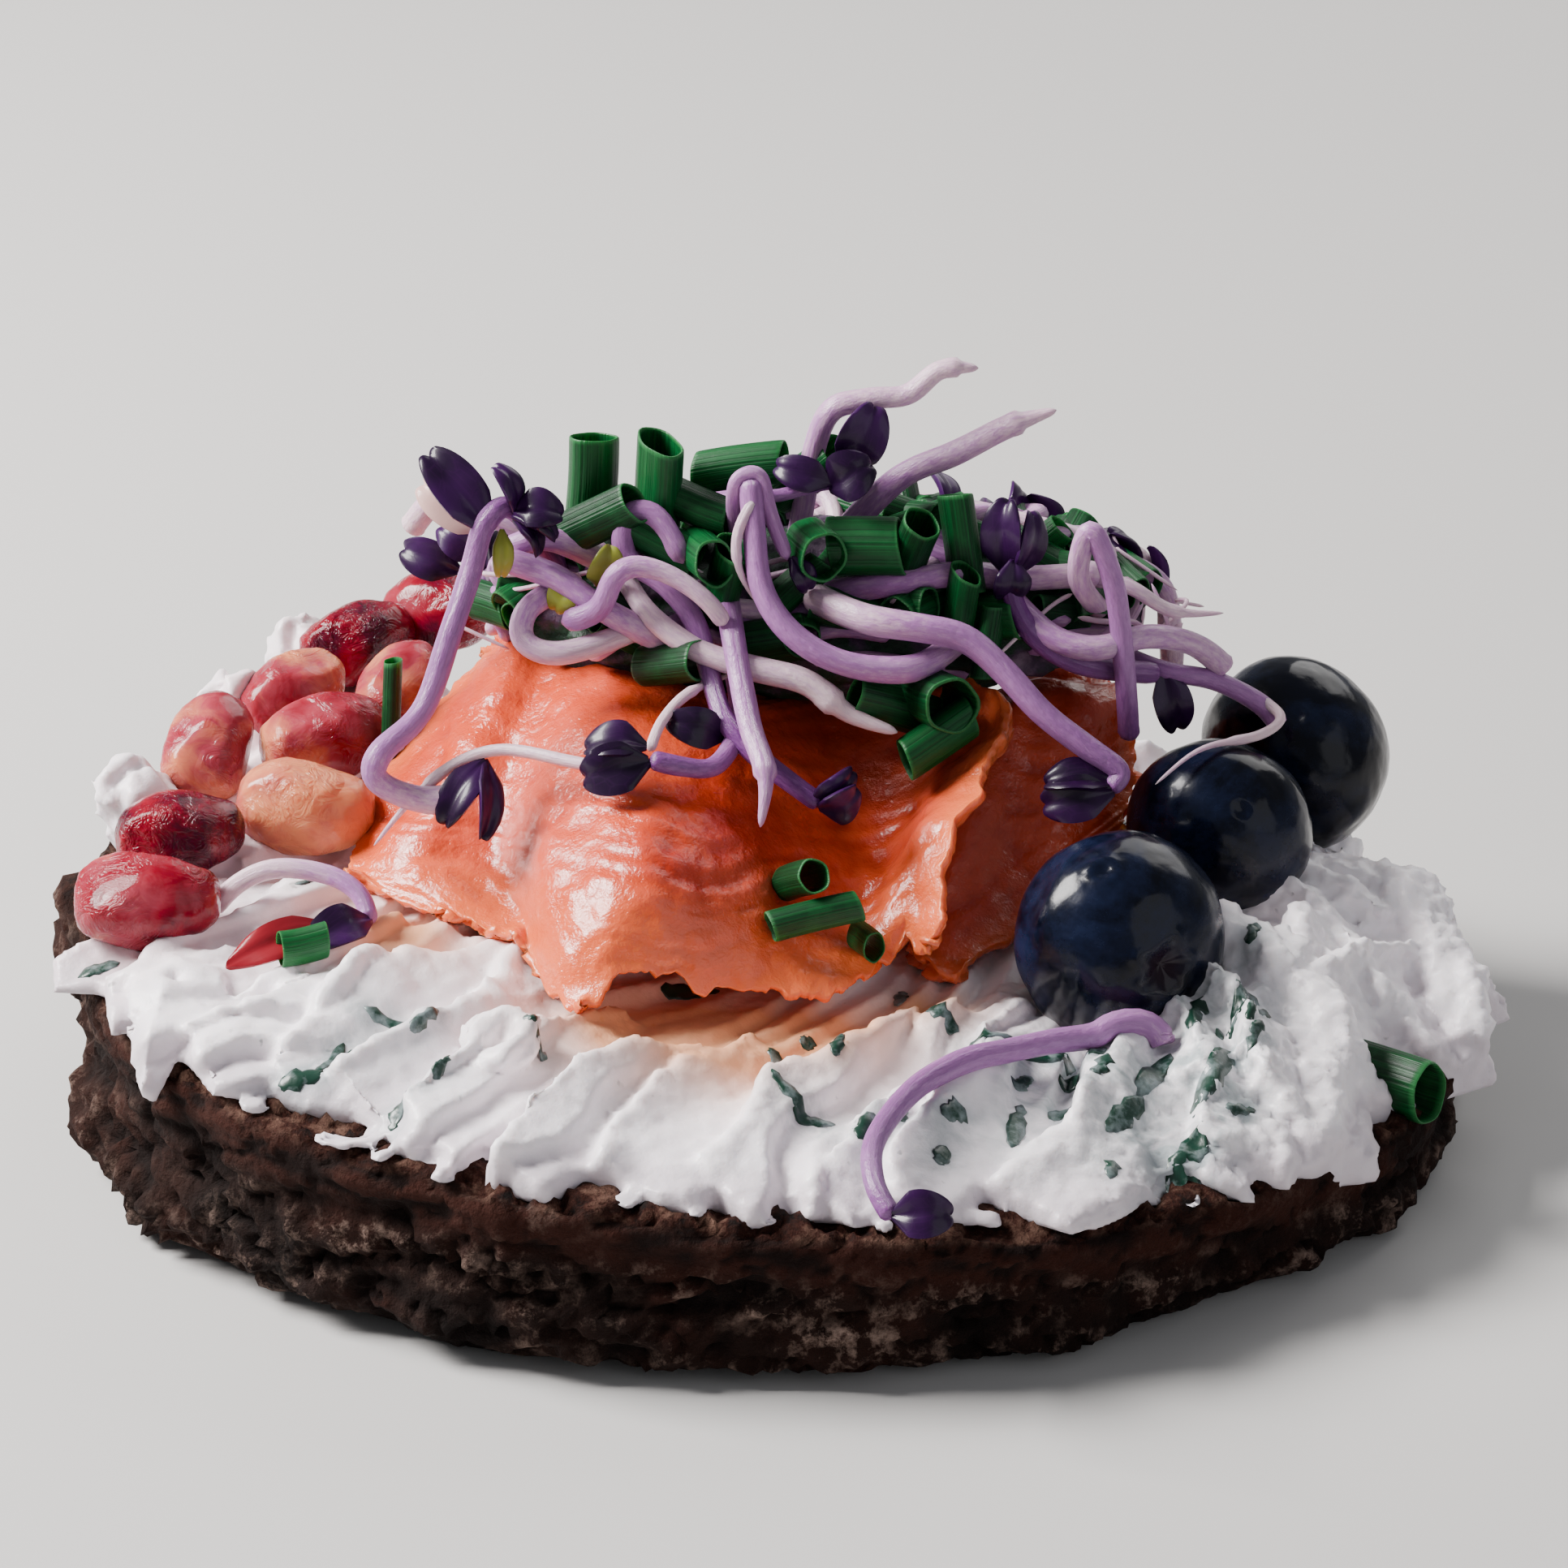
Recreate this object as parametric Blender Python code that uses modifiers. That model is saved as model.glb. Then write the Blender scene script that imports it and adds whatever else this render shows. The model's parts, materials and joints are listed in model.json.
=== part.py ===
"""Open sandwich: an oval slice of dark bread with knife-spread herb cream cheese, folded
smoked salmon, pomegranate arils, blueberries and a heap of radish sprouts and chives.

Metres, +Z up. It stands on z = 0 with its front towards -Y. The sizes below are taken from the
middle of the slice; at the end everything is shifted so that the whole is centred on the origin.
"""

import math
import random

import bmesh
import bpy
from mathutils import Matrix, Vector, noise
from mathutils.bvhtree import BVHTree

MM = 0.001

# The slice of bread. Its cut face falls towards +X, so the slice is thickest on the left.
BREAD_HALF_LENGTH = 51.5 * MM
BREAD_FRONT_DEPTH = 43.5 * MM
BREAD_BACK_DEPTH = 45.5 * MM
BREAD_MID_HEIGHT = 12.5 * MM
BREAD_TOP_SLOPE = -0.085
BREAD_SQUARENESS = 2.2
BREAD_SEGMENTS = 60
CRUST_RELIEF = 1.0 * MM

CREAM_REACH = 0.93
CREAM_DEPTH = 2.6 * MM
CREAM_MOUND_AT = (35 * MM, 1 * MM)
CREAM_MOUND_SIZE = (17 * MM, 20 * MM, 4.2 * MM)
CREAM_VOXEL = 0.95 * MM
CREAM_TRIANGLES = 1280

SALMON_THICKNESS = 1.6 * MM
BERRY_RADIUS = 7.6 * MM
ARIL_LENGTH = 10.2 * MM
CHIVE_WALL = 0.55 * MM
LEAF_THICKNESS = 0.8 * MM

WHOLE_SHIFT = (-2.0 * MM, 0.3 * MM, 0)
GAP = 0.4 * MM
WELD = 1e-6
UP = Vector((0, 0, 1))
DOWN = Vector((0, 0, -1))
FLAT_ANGLE = math.radians(2)
SEED = 11

COLOURS = {
    "crust": ((0.10, 0.045, 0.024), 0.85),
    "cream": ((0.86, 0.82, 0.78), 0.55),
    "salmon": ((0.83, 0.27, 0.12), 0.35),
    "berry": ((0.02, 0.03, 0.07), 0.4),
    "aril": ((0.55, 0.05, 0.07), 0.2),
    "chive": ((0.02, 0.20, 0.05), 0.45),
    "stem": ((0.62, 0.50, 0.66), 0.45),
}


def mm(x, y, z):
    """A point given in millimetres."""
    return Vector((x, y, z)) * MM


def clear_scene():
    for found in list(bpy.data.objects):
        bpy.data.objects.remove(found, do_unlink=True)


def new_collection(name, hidden=False):
    made = bpy.data.collections.new(name)
    made.hide_render = hidden
    bpy.context.scene.collection.children.link(made)
    return made


def material(name):
    found = bpy.data.materials.get(name)
    if found:
        return found
    colour, roughness = COLOURS[name]
    made = bpy.data.materials.new(name)
    made.use_nodes = True
    surface = made.node_tree.nodes["Principled BSDF"]
    surface.inputs["Base Color"].default_value = (*colour, 1)
    surface.inputs["Roughness"].default_value = roughness
    surface.inputs["Metallic"].default_value = 0
    return made


def add_object(name, mesh, collection, finish="cream"):
    made = bpy.data.objects.new(name, mesh)
    collection.objects.link(made)
    mesh.materials.clear()
    mesh.materials.append(material(finish))
    return made


def evaluated_mesh(source):
    """The object's mesh with its modifiers applied, in world space."""
    bpy.context.view_layer.update()
    graph = bpy.context.evaluated_depsgraph_get()
    mesh = bpy.data.meshes.new_from_object(source.evaluated_get(graph))
    mesh.transform(source.matrix_world)
    return mesh


def apply_modifiers(target):
    mesh = evaluated_mesh(target)
    target.modifiers.clear()
    target.matrix_world = Matrix.Identity(4)
    old = target.data
    target.data = mesh
    bpy.data.meshes.remove(old)
    return target


def merge_flat_faces(target):
    """Joins faces that lie in one plane, to save triangles."""
    work = bmesh.new()
    work.from_mesh(target.data)
    bmesh.ops.dissolve_limit(
        work, angle_limit=FLAT_ANGLE, verts=work.verts[:], edges=work.edges[:]
    )
    bmesh.ops.triangulate(work, faces=work.faces[:], ngon_method="EAR_CLIP")
    work.to_mesh(target.data)
    work.free()


def keep_largest_body(target):
    """Drops the loose scraps that a cut leaves, and fills the hollows that it shuts."""
    work = bmesh.new()
    work.from_mesh(target.data)
    unseen = set(work.verts)
    bodies = []
    while unseen:
        body = set()
        edge_of_body = [unseen.pop()]
        while edge_of_body:
            vertex = edge_of_body.pop()
            body.add(vertex)
            for edge in vertex.link_edges:
                other = edge.other_vert(vertex)
                if other in unseen:
                    unseen.remove(other)
                    edge_of_body.append(other)
        bodies.append(body)
    largest = max(bodies, key=len)
    bmesh.ops.delete(work, geom=[v for v in work.verts if v not in largest], context="VERTS")
    bmesh.ops.triangulate(work, faces=work.faces[:], ngon_method="EAR_CLIP")
    work.to_mesh(target.data)
    work.free()


def carve(target, neighbours, cutters, gap=GAP):
    """Cuts each neighbour, grown by the gap, out of the target."""
    made = []
    for neighbour in neighbours:
        cutter = add_object(f"cut_{neighbour.name}", evaluated_mesh(neighbour), cutters)
        cutter.hide_render = True
        cutter.display_type = "WIRE"
        grown = cutter.modifiers.new("grown", "DISPLACE")
        grown.mid_level = 0
        grown.strength = gap
        cut = target.modifiers.new("clearance", "BOOLEAN")
        cut.operation = "DIFFERENCE"
        cut.solver = "MANIFOLD"
        cut.object = cutter
        made.append(cutter)
    apply_modifiers(target)
    for cutter in made:
        bpy.data.objects.remove(cutter, do_unlink=True)
    keep_largest_body(target)


def turned_mesh(profile, segments):
    """A closed solid of revolution about Z from a profile that runs top to bottom at +X."""
    mesh = bpy.data.meshes.new("profile")
    mesh.from_pydata(
        [(radius, 0, height) for radius, height in profile],
        [(i, i + 1) for i in range(len(profile) - 1)],
        [],
    )
    guide = bpy.data.objects.new("turning", mesh)
    bpy.context.scene.collection.objects.link(guide)
    screw = guide.modifiers.new("turned", "SCREW")
    screw.steps = segments
    screw.render_steps = segments
    screw.use_merge_vertices = True
    screw.merge_threshold = WELD
    turned = evaluated_mesh(guide)
    bpy.data.objects.remove(guide, do_unlink=True)
    work = bmesh.new()
    work.from_mesh(turned)
    bmesh.ops.remove_doubles(work, verts=work.verts[:], dist=WELD)
    bmesh.ops.recalc_face_normals(work, faces=work.faces[:])
    work.to_mesh(turned)
    work.free()
    return turned


def loft(rings, closed_ends=True):
    """A skin through rings of equal count, each a closed loop of points."""
    work = bmesh.new()
    rows = [[work.verts.new(point) for point in ring] for ring in rings]
    count = len(rows[0])
    for lower, upper in zip(rows, rows[1:]):
        for i in range(count):
            j = (i + 1) % count
            work.faces.new((lower[i], lower[j], upper[j], upper[i]))
    if closed_ends:
        work.faces.new(rows[0])
        work.faces.new(rows[-1])
    bmesh.ops.recalc_face_normals(work, faces=work.faces[:])
    mesh = bpy.data.meshes.new("loft")
    work.to_mesh(mesh)
    work.free()
    return mesh


def spline_point(points, share):
    """A point on the smooth curve through the points, with share from 0 to 1."""
    spans = len(points) - 1
    span = min(int(share * spans), spans - 1)
    t = share * spans - span
    before = points[max(span - 1, 0)]
    start, end = points[span], points[span + 1]
    after = points[min(span + 2, spans)]
    return 0.5 * (
        2 * start
        + (end - before) * t
        + (2 * before - 5 * start + 4 * end - after) * t**2
        + (3 * start - before - 3 * end + after) * t**3
    )


def unevenness(angle):
    """How far the oval outline swells or sinks at an angle, as a factor."""
    return 1 + 0.010 * math.sin(3 * angle + 0.8) + 0.007 * math.sin(5 * angle + 2.1)


def rim_radius(angle):
    """The bread's outline: an oval a little squarer than an ellipse."""
    depth = BREAD_BACK_DEPTH if math.sin(angle) > 0 else BREAD_FRONT_DEPTH
    across = abs(math.cos(angle) / BREAD_HALF_LENGTH) ** BREAD_SQUARENESS
    along = abs(math.sin(angle) / depth) ** BREAD_SQUARENESS
    return (across + along) ** (-1 / BREAD_SQUARENESS) * unevenness(angle)


def bread_top(x):
    return BREAD_MID_HEIGHT + BREAD_TOP_SLOPE * x


def crust_relief(point, angle):
    """Lumps and cracks of the crust, as a distance outwards."""
    lumps = noise.noise(point * 160 + Vector((3.1, 0, 0)))
    cracks = abs(noise.noise(point * 330 + Vector((0, 7.7, 0))))
    ledge = 0.5 * math.sin(4 * angle + 1.3)
    return CRUST_RELIEF * (lumps + 0.35 * ledge - 0.9 * cracks + 0.2)


def make_bread(collection):
    """A turned slab, pulled to the oval outline and roughened below the rim."""
    profile = [
        (0, 1), (0.45, 1), (0.8, 1), (0.955, 1), (0.99, 0.97), (1, 0.86), (0.988, 0.68),
        (0.978, 0.50), (0.990, 0.34), (0.985, 0.19), (0.955, 0.06), (0.90, 0), (0.45, 0), (0, 0),
    ]
    mesh = turned_mesh(
        [(reach * BREAD_HALF_LENGTH, rise * BREAD_MID_HEIGHT) for reach, rise in profile],
        BREAD_SEGMENTS,
    )
    for vertex in mesh.vertices:
        x, y, z = vertex.co
        reach = math.hypot(x, y) / BREAD_HALF_LENGTH
        rise = z / BREAD_MID_HEIGHT
        angle = math.atan2(y, x)
        outwards = Vector((math.cos(angle), math.sin(angle), 0))
        place = outwards * rim_radius(angle) * reach
        place.z = rise * bread_top(place.x)
        if 0.02 < rise < 0.98:
            place += outwards * crust_relief(place, angle)
        vertex.co = place
    return add_object("bread", mesh, collection, "crust")


def cream_floor(x, y):
    """Height of the evenly spread cream, with the thicker mound under the berries."""
    across = (x - CREAM_MOUND_AT[0]) / CREAM_MOUND_SIZE[0]
    along = (y - CREAM_MOUND_AT[1]) / CREAM_MOUND_SIZE[1]
    mound = math.exp(-(across**2 + along**2) * 1.6) * CREAM_MOUND_SIZE[2]
    return bread_top(x) + CREAM_DEPTH + mound


def cream_slab():
    rings = []
    for reach, rise in [(0.0, 1), (0.4, 1), (0.75, 1), (0.93, 0.95), (1, 0.6), (0.99, 0), (0.5, 0), (0, 0)]:
        rings.append((reach * BREAD_HALF_LENGTH, rise * MM))
    mesh = turned_mesh(rings, 72)
    for vertex in mesh.vertices:
        x, y, z = vertex.co
        reach = math.hypot(x, y) / BREAD_HALF_LENGTH
        rise = z / MM
        angle = math.atan2(y, x)
        ragged = 0.02 * math.sin(17 * angle) + 0.02 * math.sin(29 * angle + 1)
        radius = rim_radius(angle) * reach * (CREAM_REACH + ragged)
        place = Vector((math.cos(angle) * radius, math.sin(angle) * radius, 0))
        low = bread_top(place.x) - 0.6 * MM
        place.z = low + (cream_floor(place.x, place.y) - low) * rise
        vertex.co = place
    return mesh


# Across a knife stroke, from its steep side to its feathered side: (across, up), as shares
# of the stroke's width and height. The crest stands near the steep side.
STROKE_SECTION = [
    (-0.50, -0.7), (-0.46, 0.25), (-0.34, 1.0), (-0.22, 0.80), (0.0, 0.36), (0.28, 0.22),
    (0.5, -0.05), (0.5, -0.7),
]
STROKE_STATIONS = 9
STROKE_ROOT = 0.5 * MM


def knife_stroke(start, heading, length, width, height, bend=0.0, drop=0.0):
    """One swipe of cream: a ridge that rises fast at its start and feathers out at its end."""
    rings = []
    for station in range(STROKE_STATIONS):
        share = station / (STROKE_STATIONS - 1)
        turn = math.radians(heading + bend * (share - 0.5))
        along = Vector((math.cos(turn), math.sin(turn), 0))
        side = Vector((-along.y, along.x, 0))
        spine = Vector((start[0], start[1], 0)) + along * length * share
        breadth = width * (0.45 + 0.55 * math.sin(math.pi * min(1, 0.18 + 0.75 * share)))
        crest = height * (0.30 + 0.70 * math.sin(math.pi * (0.12 + 0.80 * share)))
        base = cream_floor(spine.x, spine.y) - STROKE_ROOT - drop * (1 - share) ** 2
        rings.append(
            [
                spine + side * across * breadth + Vector((0, 0, base + up * crest))
                for across, up in STROKE_SECTION
            ]
        )
    return loft(rings)


def rim_strokes():
    """Long swipes that start at the rim and run inwards, all the way round."""
    draw = random.Random(SEED)
    strokes = []
    angle = 0.0
    while angle < 2 * math.pi:
        reach = rim_radius(angle) * draw.uniform(0.94, 1.0)
        start = (math.cos(angle) * reach, math.sin(angle) * reach)
        inwards = math.degrees(angle) + 180
        heading = 62 + 0.4 * start[0] / MM if math.sin(angle) < 0.2 else inwards - 35
        if math.cos(angle) > 0.75:
            heading = inwards + 40
        strokes.append(
            knife_stroke(
                start,
                heading + draw.uniform(-6, 6),
                draw.uniform(22, 31) * MM,
                draw.uniform(7.5, 10.5) * MM,
                draw.uniform(2.2, 3.3) * MM,
                bend=draw.uniform(-12, 20),
                drop=draw.uniform(0.2, 1.4) * MM,
            )
        )
        angle += draw.uniform(5.6, 7.6) * MM / reach
    return strokes


def inner_strokes():
    """Second layer on the left and behind, and the thick curls of cream on the right."""
    places = [
        # x, y, heading, length, width, height, bend, drop
        (-47, -20, 18, 24, 8, 2.6, 16, 1.0),
        (-40, -28, 30, 22, 8, 3.2, 10, 0.6),
        (-33, -17, 22, 17, 7, 3.0, -10, 0.4),
        (-30, -22, 26, 19, 7, 2.8, 12, 0.2),
        (8, -25, 34, 18, 8, 3.0, 30, 0.4),
        (13, -33, 48, 16, 8, 3.6, 20, 0.6),
        (24, -34, 74, 15, 8, 3.8, -12, 0.8),
        (33, -31, 84, 18, 9, 4.6, 12, 1.0),
        (40, -27, 112, 20, 10, 6.8, 14, 2.6),
        (45, -20, 108, 20, 9, 5.0, -18, 2.0),
        (51, -12, 128, 22, 9, 5.2, 14, 3.0),
        (53, -4, 140, 20, 9, 5.0, 20, 2.0),
        (51, 8, 160, 18, 9, 5.0, -20, 1.5),
        (46, 18, 190, 18, 9, 4.4, 20, 1.0),
        (-48, 12, -20, 16, 8, 3.2, 10, 0.4),
        (-41, 29, -40, 17, 8, 3.4, 12, 0.3),
    ]
    return [
        knife_stroke((x * MM, y * MM), heading, length * MM, width * MM, height * MM, bend, drop * MM)
        for x, y, heading, length, width, height, bend, drop in places
    ]


def hanging_tongue():
    """The pointed tongue of cream that hangs over the rim at the front left."""
    rings = []
    path = [mm(-36, -19, 18.6), mm(-41, -24.5, 18.6), mm(-43.6, -28.6, 16.6), mm(-44.6, -30.2, 13.4)]
    for share, width in [(0, 4), (0.35, 4.6), (0.6, 3.4), (0.85, 1.6), (1, 0.5)]:
        centre = spline_point(path, share)
        side = Vector((0.62, -0.78, 0)) * width * MM
        rings.append([centre - side, centre + Vector((-0.5, -0.5, 1.1)) * MM * 1.2,
                      centre + side, centre - Vector((-0.4, -0.4, 1)) * MM * 1.1])
    return loft(rings)


def small_curl():
    """The little ring of cream that the knife left on the front strokes."""
    bpy.ops.mesh.primitive_torus_add(
        major_radius=2.1 * MM, minor_radius=0.95 * MM, major_segments=14, minor_segments=8,
        location=mm(-18.6, -28.3, 18.4), rotation=(0.35, 0.1, 0),
    )
    torus = bpy.context.object
    mesh = evaluated_mesh(torus)
    bpy.data.objects.remove(torus, do_unlink=True)
    return mesh


def join_meshes(meshes):
    work = bmesh.new()
    for mesh in meshes:
        work.from_mesh(mesh)
    joined = bpy.data.meshes.new("joined")
    work.to_mesh(joined)
    work.free()
    return joined


def make_cream(collection, bread, cutters):
    """The slab and every stroke fused by a remesh, thinned, then cut clear of the bread."""
    meshes = [cream_slab(), *rim_strokes(), *inner_strokes(), hanging_tongue(), small_curl()]
    cream = add_object("cream_cheese", join_meshes(meshes), collection, "cream")
    fuse = cream.modifiers.new("fused", "REMESH")
    fuse.mode = "VOXEL"
    fuse.voxel_size = CREAM_VOXEL
    apply_modifiers(cream)
    keep_largest_body(cream)
    thin = cream.modifiers.new("fewer faces", "DECIMATE")
    thin.ratio = CREAM_TRIANGLES / len(cream.data.polygons)
    carve(cream, [bread], cutters)
    merge_flat_faces(cream)
    return cream


# The large slice of salmon, in millimetres. Each row is one line down the slice, from its
# top to its front edge, and the rows run from the left skirt to the torn lip on the right.
SALMON_LARGE = [
    [(-21.5, 15.5, 29.5), (-25.5, 12.5, 26), (-29.2, 8, 22.8), (-30.8, 1.5, 20.6), (-31.4, -3.6, 19.6)],
    [(-18.7, 13.4, 31.5), (-21.5, 6.3, 28.5), (-24.3, 0.6, 24.8), (-26.5, -4.2, 21.8), (-23, -10, 19.6)],
    [(-16.4, 12.7, 31), (-18.2, 4.5, 28.2), (-19.4, -1.2, 24.4), (-19.4, -6.2, 21.6), (-17.6, -14.6, 19.2)],
    [(-13.7, 10.1, 31.5), (-14.6, 1.2, 29.8), (-15.4, -6.5, 27), (-15.4, -14.3, 23.4), (-14.2, -21.8, 18.4)],
    [(-10.6, 7, 31.8), (-9.7, -4.2, 30.4), (-8.9, -12.7, 28), (-9.1, -18.2, 25), (-8.9, -20.4, 20.8)],
    [(-5.1, 4.8, 30.8), (-3.8, -3.8, 28.8), (-2.6, -10.9, 26), (-1.7, -16.2, 22.6), (-2.5, -19.2, 18.6)],
    [(-0.3, 5.6, 29.5), (1.5, 0.6, 26.6), (3.0, -5.7, 23.4), (3.3, -12.3, 20.0), (3.3, -18.4, 17.8)],
    [(4, 9.7, 29), (6.5, 3.8, 25.2), (7.4, -2.9, 22), (7.2, -9, 19.8), (6.8, -15.6, 17.6)],
    [(10.7, 9.3, 30.5), (15.2, 3, 29), (13, -1.9, 27), (10.4, -8.4, 24), (9.9, -12.6, 18.8)],
]
SALMON_SMALL = [
    [(11, 12, 25.4), (10.4, 8, 22.8), (10.2, 2.4, 20), (9.8, -3, 17.8), (10.4, -7.6, 16.4)],
    [(17.5, 10, 27.5), (15.4, 4.9, 24.5), (13.6, -1.9, 20.6), (12.4, -6.6, 17.6), (12.6, -11.2, 15.8)],
    [(21.1, 10.8, 28.6), (19.8, 6.7, 25), (18.5, 2.3, 21.2), (17.6, -2.6, 18.4), (18.2, -5.6, 16.4)],
    [(25.0, 10.8, 28.4), (24.2, 7.1, 25.5), (23.3, 4.4, 22), (22.7, 2.2, 19.8), (22.8, 0.2, 18.4)],
    [(27.8, 12.6, 26.8), (28, 11.2, 24.6), (27.8, 8.8, 22.4), (27.2, 6.6, 20.8), (26.6, 5, 19.6)],
]
SALMON_BACK_Y = 25 * MM
# How many grid steps of the sheet stay thin, from its sides, its back and its front edge.
THIN_SIDE = 2.6
THIN_BACK = 1.5
THIN_FRONT = 3.2
THIN_SHARE = 0.3


def salmon_grid(rows, across, down):
    """Points of the sheet's upper face, carried on over its top and down behind."""
    lines = []
    for i, row in enumerate(rows):
        share = 2 * i / (len(rows) - 1) - 1
        front = [mm(*point) for point in row]
        top = front[0]
        rear_x = top.x * 1.04
        rear_y = SALMON_BACK_Y + (1.6 * math.sin(4.1 * share + 0.4) - 3.5 * share**4) * MM
        rear = Vector((rear_x, rear_y, cream_floor(rear_x, rear_y) + 3.2 * MM))
        shoulder = Vector((top.x, min(top.y + 6 * MM, rear_y - 3 * MM), top.z - 2.2 * MM))
        lines.append([rear, shoulder, *front])
    grid = []
    for i in range(across + 1):
        crossings = [[spline_point(line, j / down) for line in lines] for j in range(down + 1)]
        grid.append([spline_point(crossing, i / across) for crossing in crossings])
    return grid


def floor_under(point, ground):
    hit = ground.ray_cast(Vector((point.x, point.y, 1)), DOWN)[0]
    return hit.z if hit else bread_top(point.x)


def salmon_underside(grid, ground):
    """Thin along every edge, and folded solid down to the cream further in."""
    across, down = len(grid) - 1, len(grid[0]) - 1
    lower = []
    for i, line in enumerate(grid):
        under = []
        for j, point in enumerate(line):
            along = grid[min(i + 1, across)][j] - grid[max(i - 1, 0)][j]
            forward = line[min(j + 1, down)] - line[max(j - 1, 0)]
            thin = point - forward.cross(along).normalized() * SALMON_THICKNESS
            inset = min(i / THIN_SIDE, (across - i) / THIN_SIDE, j / THIN_BACK, (down - j) / THIN_FRONT, 1)
            inset = max(0, (inset - THIN_SHARE) / (1 - THIN_SHARE))
            fill = inset * inset * (3 - 2 * inset)
            floor = Vector((point.x, point.y, min(floor_under(point, ground) + GAP, thin.z)))
            under.append(thin.lerp(floor, fill))
        lower.append(under)
    return lower


def outline(face):
    """The grid's border, once round."""
    right = [line[-1] for line in face[-2::-1]]
    return [line[0] for line in face] + face[-1][1:] + right + face[0][-2:0:-1]


def make_salmon(name, rows, across, down, ground, collection):
    """A folded slice: both faces of the sheet, split into triangles alike, and a rim."""
    grid = salmon_grid(rows, across, down)
    for line in grid:
        for point in line:
            point.z = max(point.z, floor_under(point, ground) + SALMON_THICKNESS + GAP)
    work = bmesh.new()
    upper = [[work.verts.new(point) for point in line] for line in grid]
    lower = [[work.verts.new(point) for point in line] for line in salmon_underside(grid, ground)]
    for face, order in ((upper, 1), (lower, -1)):
        for left, right in zip(face, face[1:]):
            for j in range(down):
                work.faces.new((left[j], left[j + 1], right[j + 1])[::order])
                work.faces.new((left[j], right[j + 1], right[j])[::order])
    above, below = outline(upper), outline(lower)
    for i in range(len(above)):
        k = (i + 1) % len(above)
        work.faces.new((above[i], above[k], below[k], below[i]))
    bmesh.ops.recalc_face_normals(work, faces=work.faces[:])
    bmesh.ops.triangulate(work, faces=work.faces[:], ngon_method="EAR_CLIP")
    mesh = bpy.data.meshes.new(name)
    work.to_mesh(mesh)
    work.free()
    return add_object(name, mesh, collection, "salmon")


def split_faces(mesh):
    work = bmesh.new()
    work.from_mesh(mesh)
    bmesh.ops.triangulate(work, faces=work.faces[:], ngon_method="EAR_CLIP")
    work.to_mesh(mesh)
    work.free()


def ground_of(*objects):
    """What lies under a topping, for dropping points on it."""
    vertices, faces = [], []
    for found in objects:
        mesh = found.data
        first = len(vertices)
        vertices.extend(vertex.co.copy() for vertex in mesh.vertices)
        faces.extend([first + i for i in face.vertices] for face in mesh.polygons)
    return BVHTree.FromPolygons(vertices, faces)


# Centre in millimetres, size beside the common radius, and where the crown looks.
BERRIES = {
    "blueberry_front": ((25.7, -12.0, 19.0), 1.03, (0.55, -0.75, -0.25)),
    "blueberry_middle": ((33.8, 2.6, 20.9), 0.92, (0.3, 0.5, 0.8)),
    "blueberry_back": ((40.6, 16.6, 20.6), 1.0, (0.6, 0.2, 0.75)),
}


def make_berry(name, centre, size, crown, collection):
    """A flattened ball with a raised crown round a sunken cup at its blossom end."""
    steps = 7
    profile = []
    for i in range(steps + 1):
        tilt = math.pi * (0.10 + 0.90 * i / steps)
        profile.append((math.sin(tilt), 0.88 * math.cos(tilt)))
    profile[-1] = (0, -0.88)
    crown_rim = [(0, 0.74), (0.16, 0.75), (0.25, 0.90)]
    mesh = turned_mesh([*crown_rim, *profile], 14)
    radius = BERRY_RADIUS * size
    turn = Vector(crown).to_track_quat("Z", "Y").to_matrix().to_4x4()
    mesh.transform(Matrix.Translation(mm(*centre)) @ turn @ Matrix.Scale(radius, 4))
    return add_object(name, mesh, collection, "berry")


# Centre in millimetres, the long way of the seed as an azimuth and a rise in degrees,
# and its size beside the common length.
ARILS = [
    ((-44.8, -11.2, 21.6), -4, 4, 1.04),
    ((-43.4, -1.0, 22.0), 12, 6, 0.94),
    ((-34.4, 3.4, 22.2), -8, 0, 1.02),
    ((-42.4, 12.0, 23.2), 75, 34, 0.90),
    ((-36.8, 22.0, 23.0), 40, 22, 0.90),
    ((-33.6, 12.8, 23.6), 14, 8, 0.98),
    ((-32.4, 31.2, 23.4), 20, 16, 0.92),
    ((-26.0, 34.6, 24.6), -24, 14, 0.94),
    ((-28.4, 21.8, 24.0), 62, 25, 0.80),
]
ARIL_SECTION = 6
ARIL_REACH = 12


def make_aril(name, centre, azimuth, rise, size, collection):
    """A blunt wedge-like seed with flattened sides and one narrower end."""
    length = ARIL_LENGTH * size
    stations = [
        (0, 0.05), (0.05, 0.42), (0.18, 0.78), (0.4, 1.0), (0.68, 0.96), (0.88, 0.66), (0.98, 0.3), (1, 0.04),
    ]
    rings = []
    for share, girth in stations:
        ring = []
        for i in range(ARIL_SECTION):
            angle = 2 * math.pi * (i + 0.5) / ARIL_SECTION
            facet = 1 + 0.09 * math.cos(3 * angle + 1.1)
            across, up = 0.37 * girth * facet, 0.33 * girth * facet
            ring.append(Vector((share - 0.5, across * math.cos(angle), up * math.sin(angle))))
        rings.append(ring)
    mesh = loft(rings)
    turn = Matrix.Rotation(math.radians(azimuth), 4, "Z") @ Matrix.Rotation(-math.radians(rise), 4, "Y")
    mesh.transform(Matrix.Translation(mm(*centre)) @ turn @ Matrix.Scale(length, 4))
    return add_object(name, mesh, collection, "aril")


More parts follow.
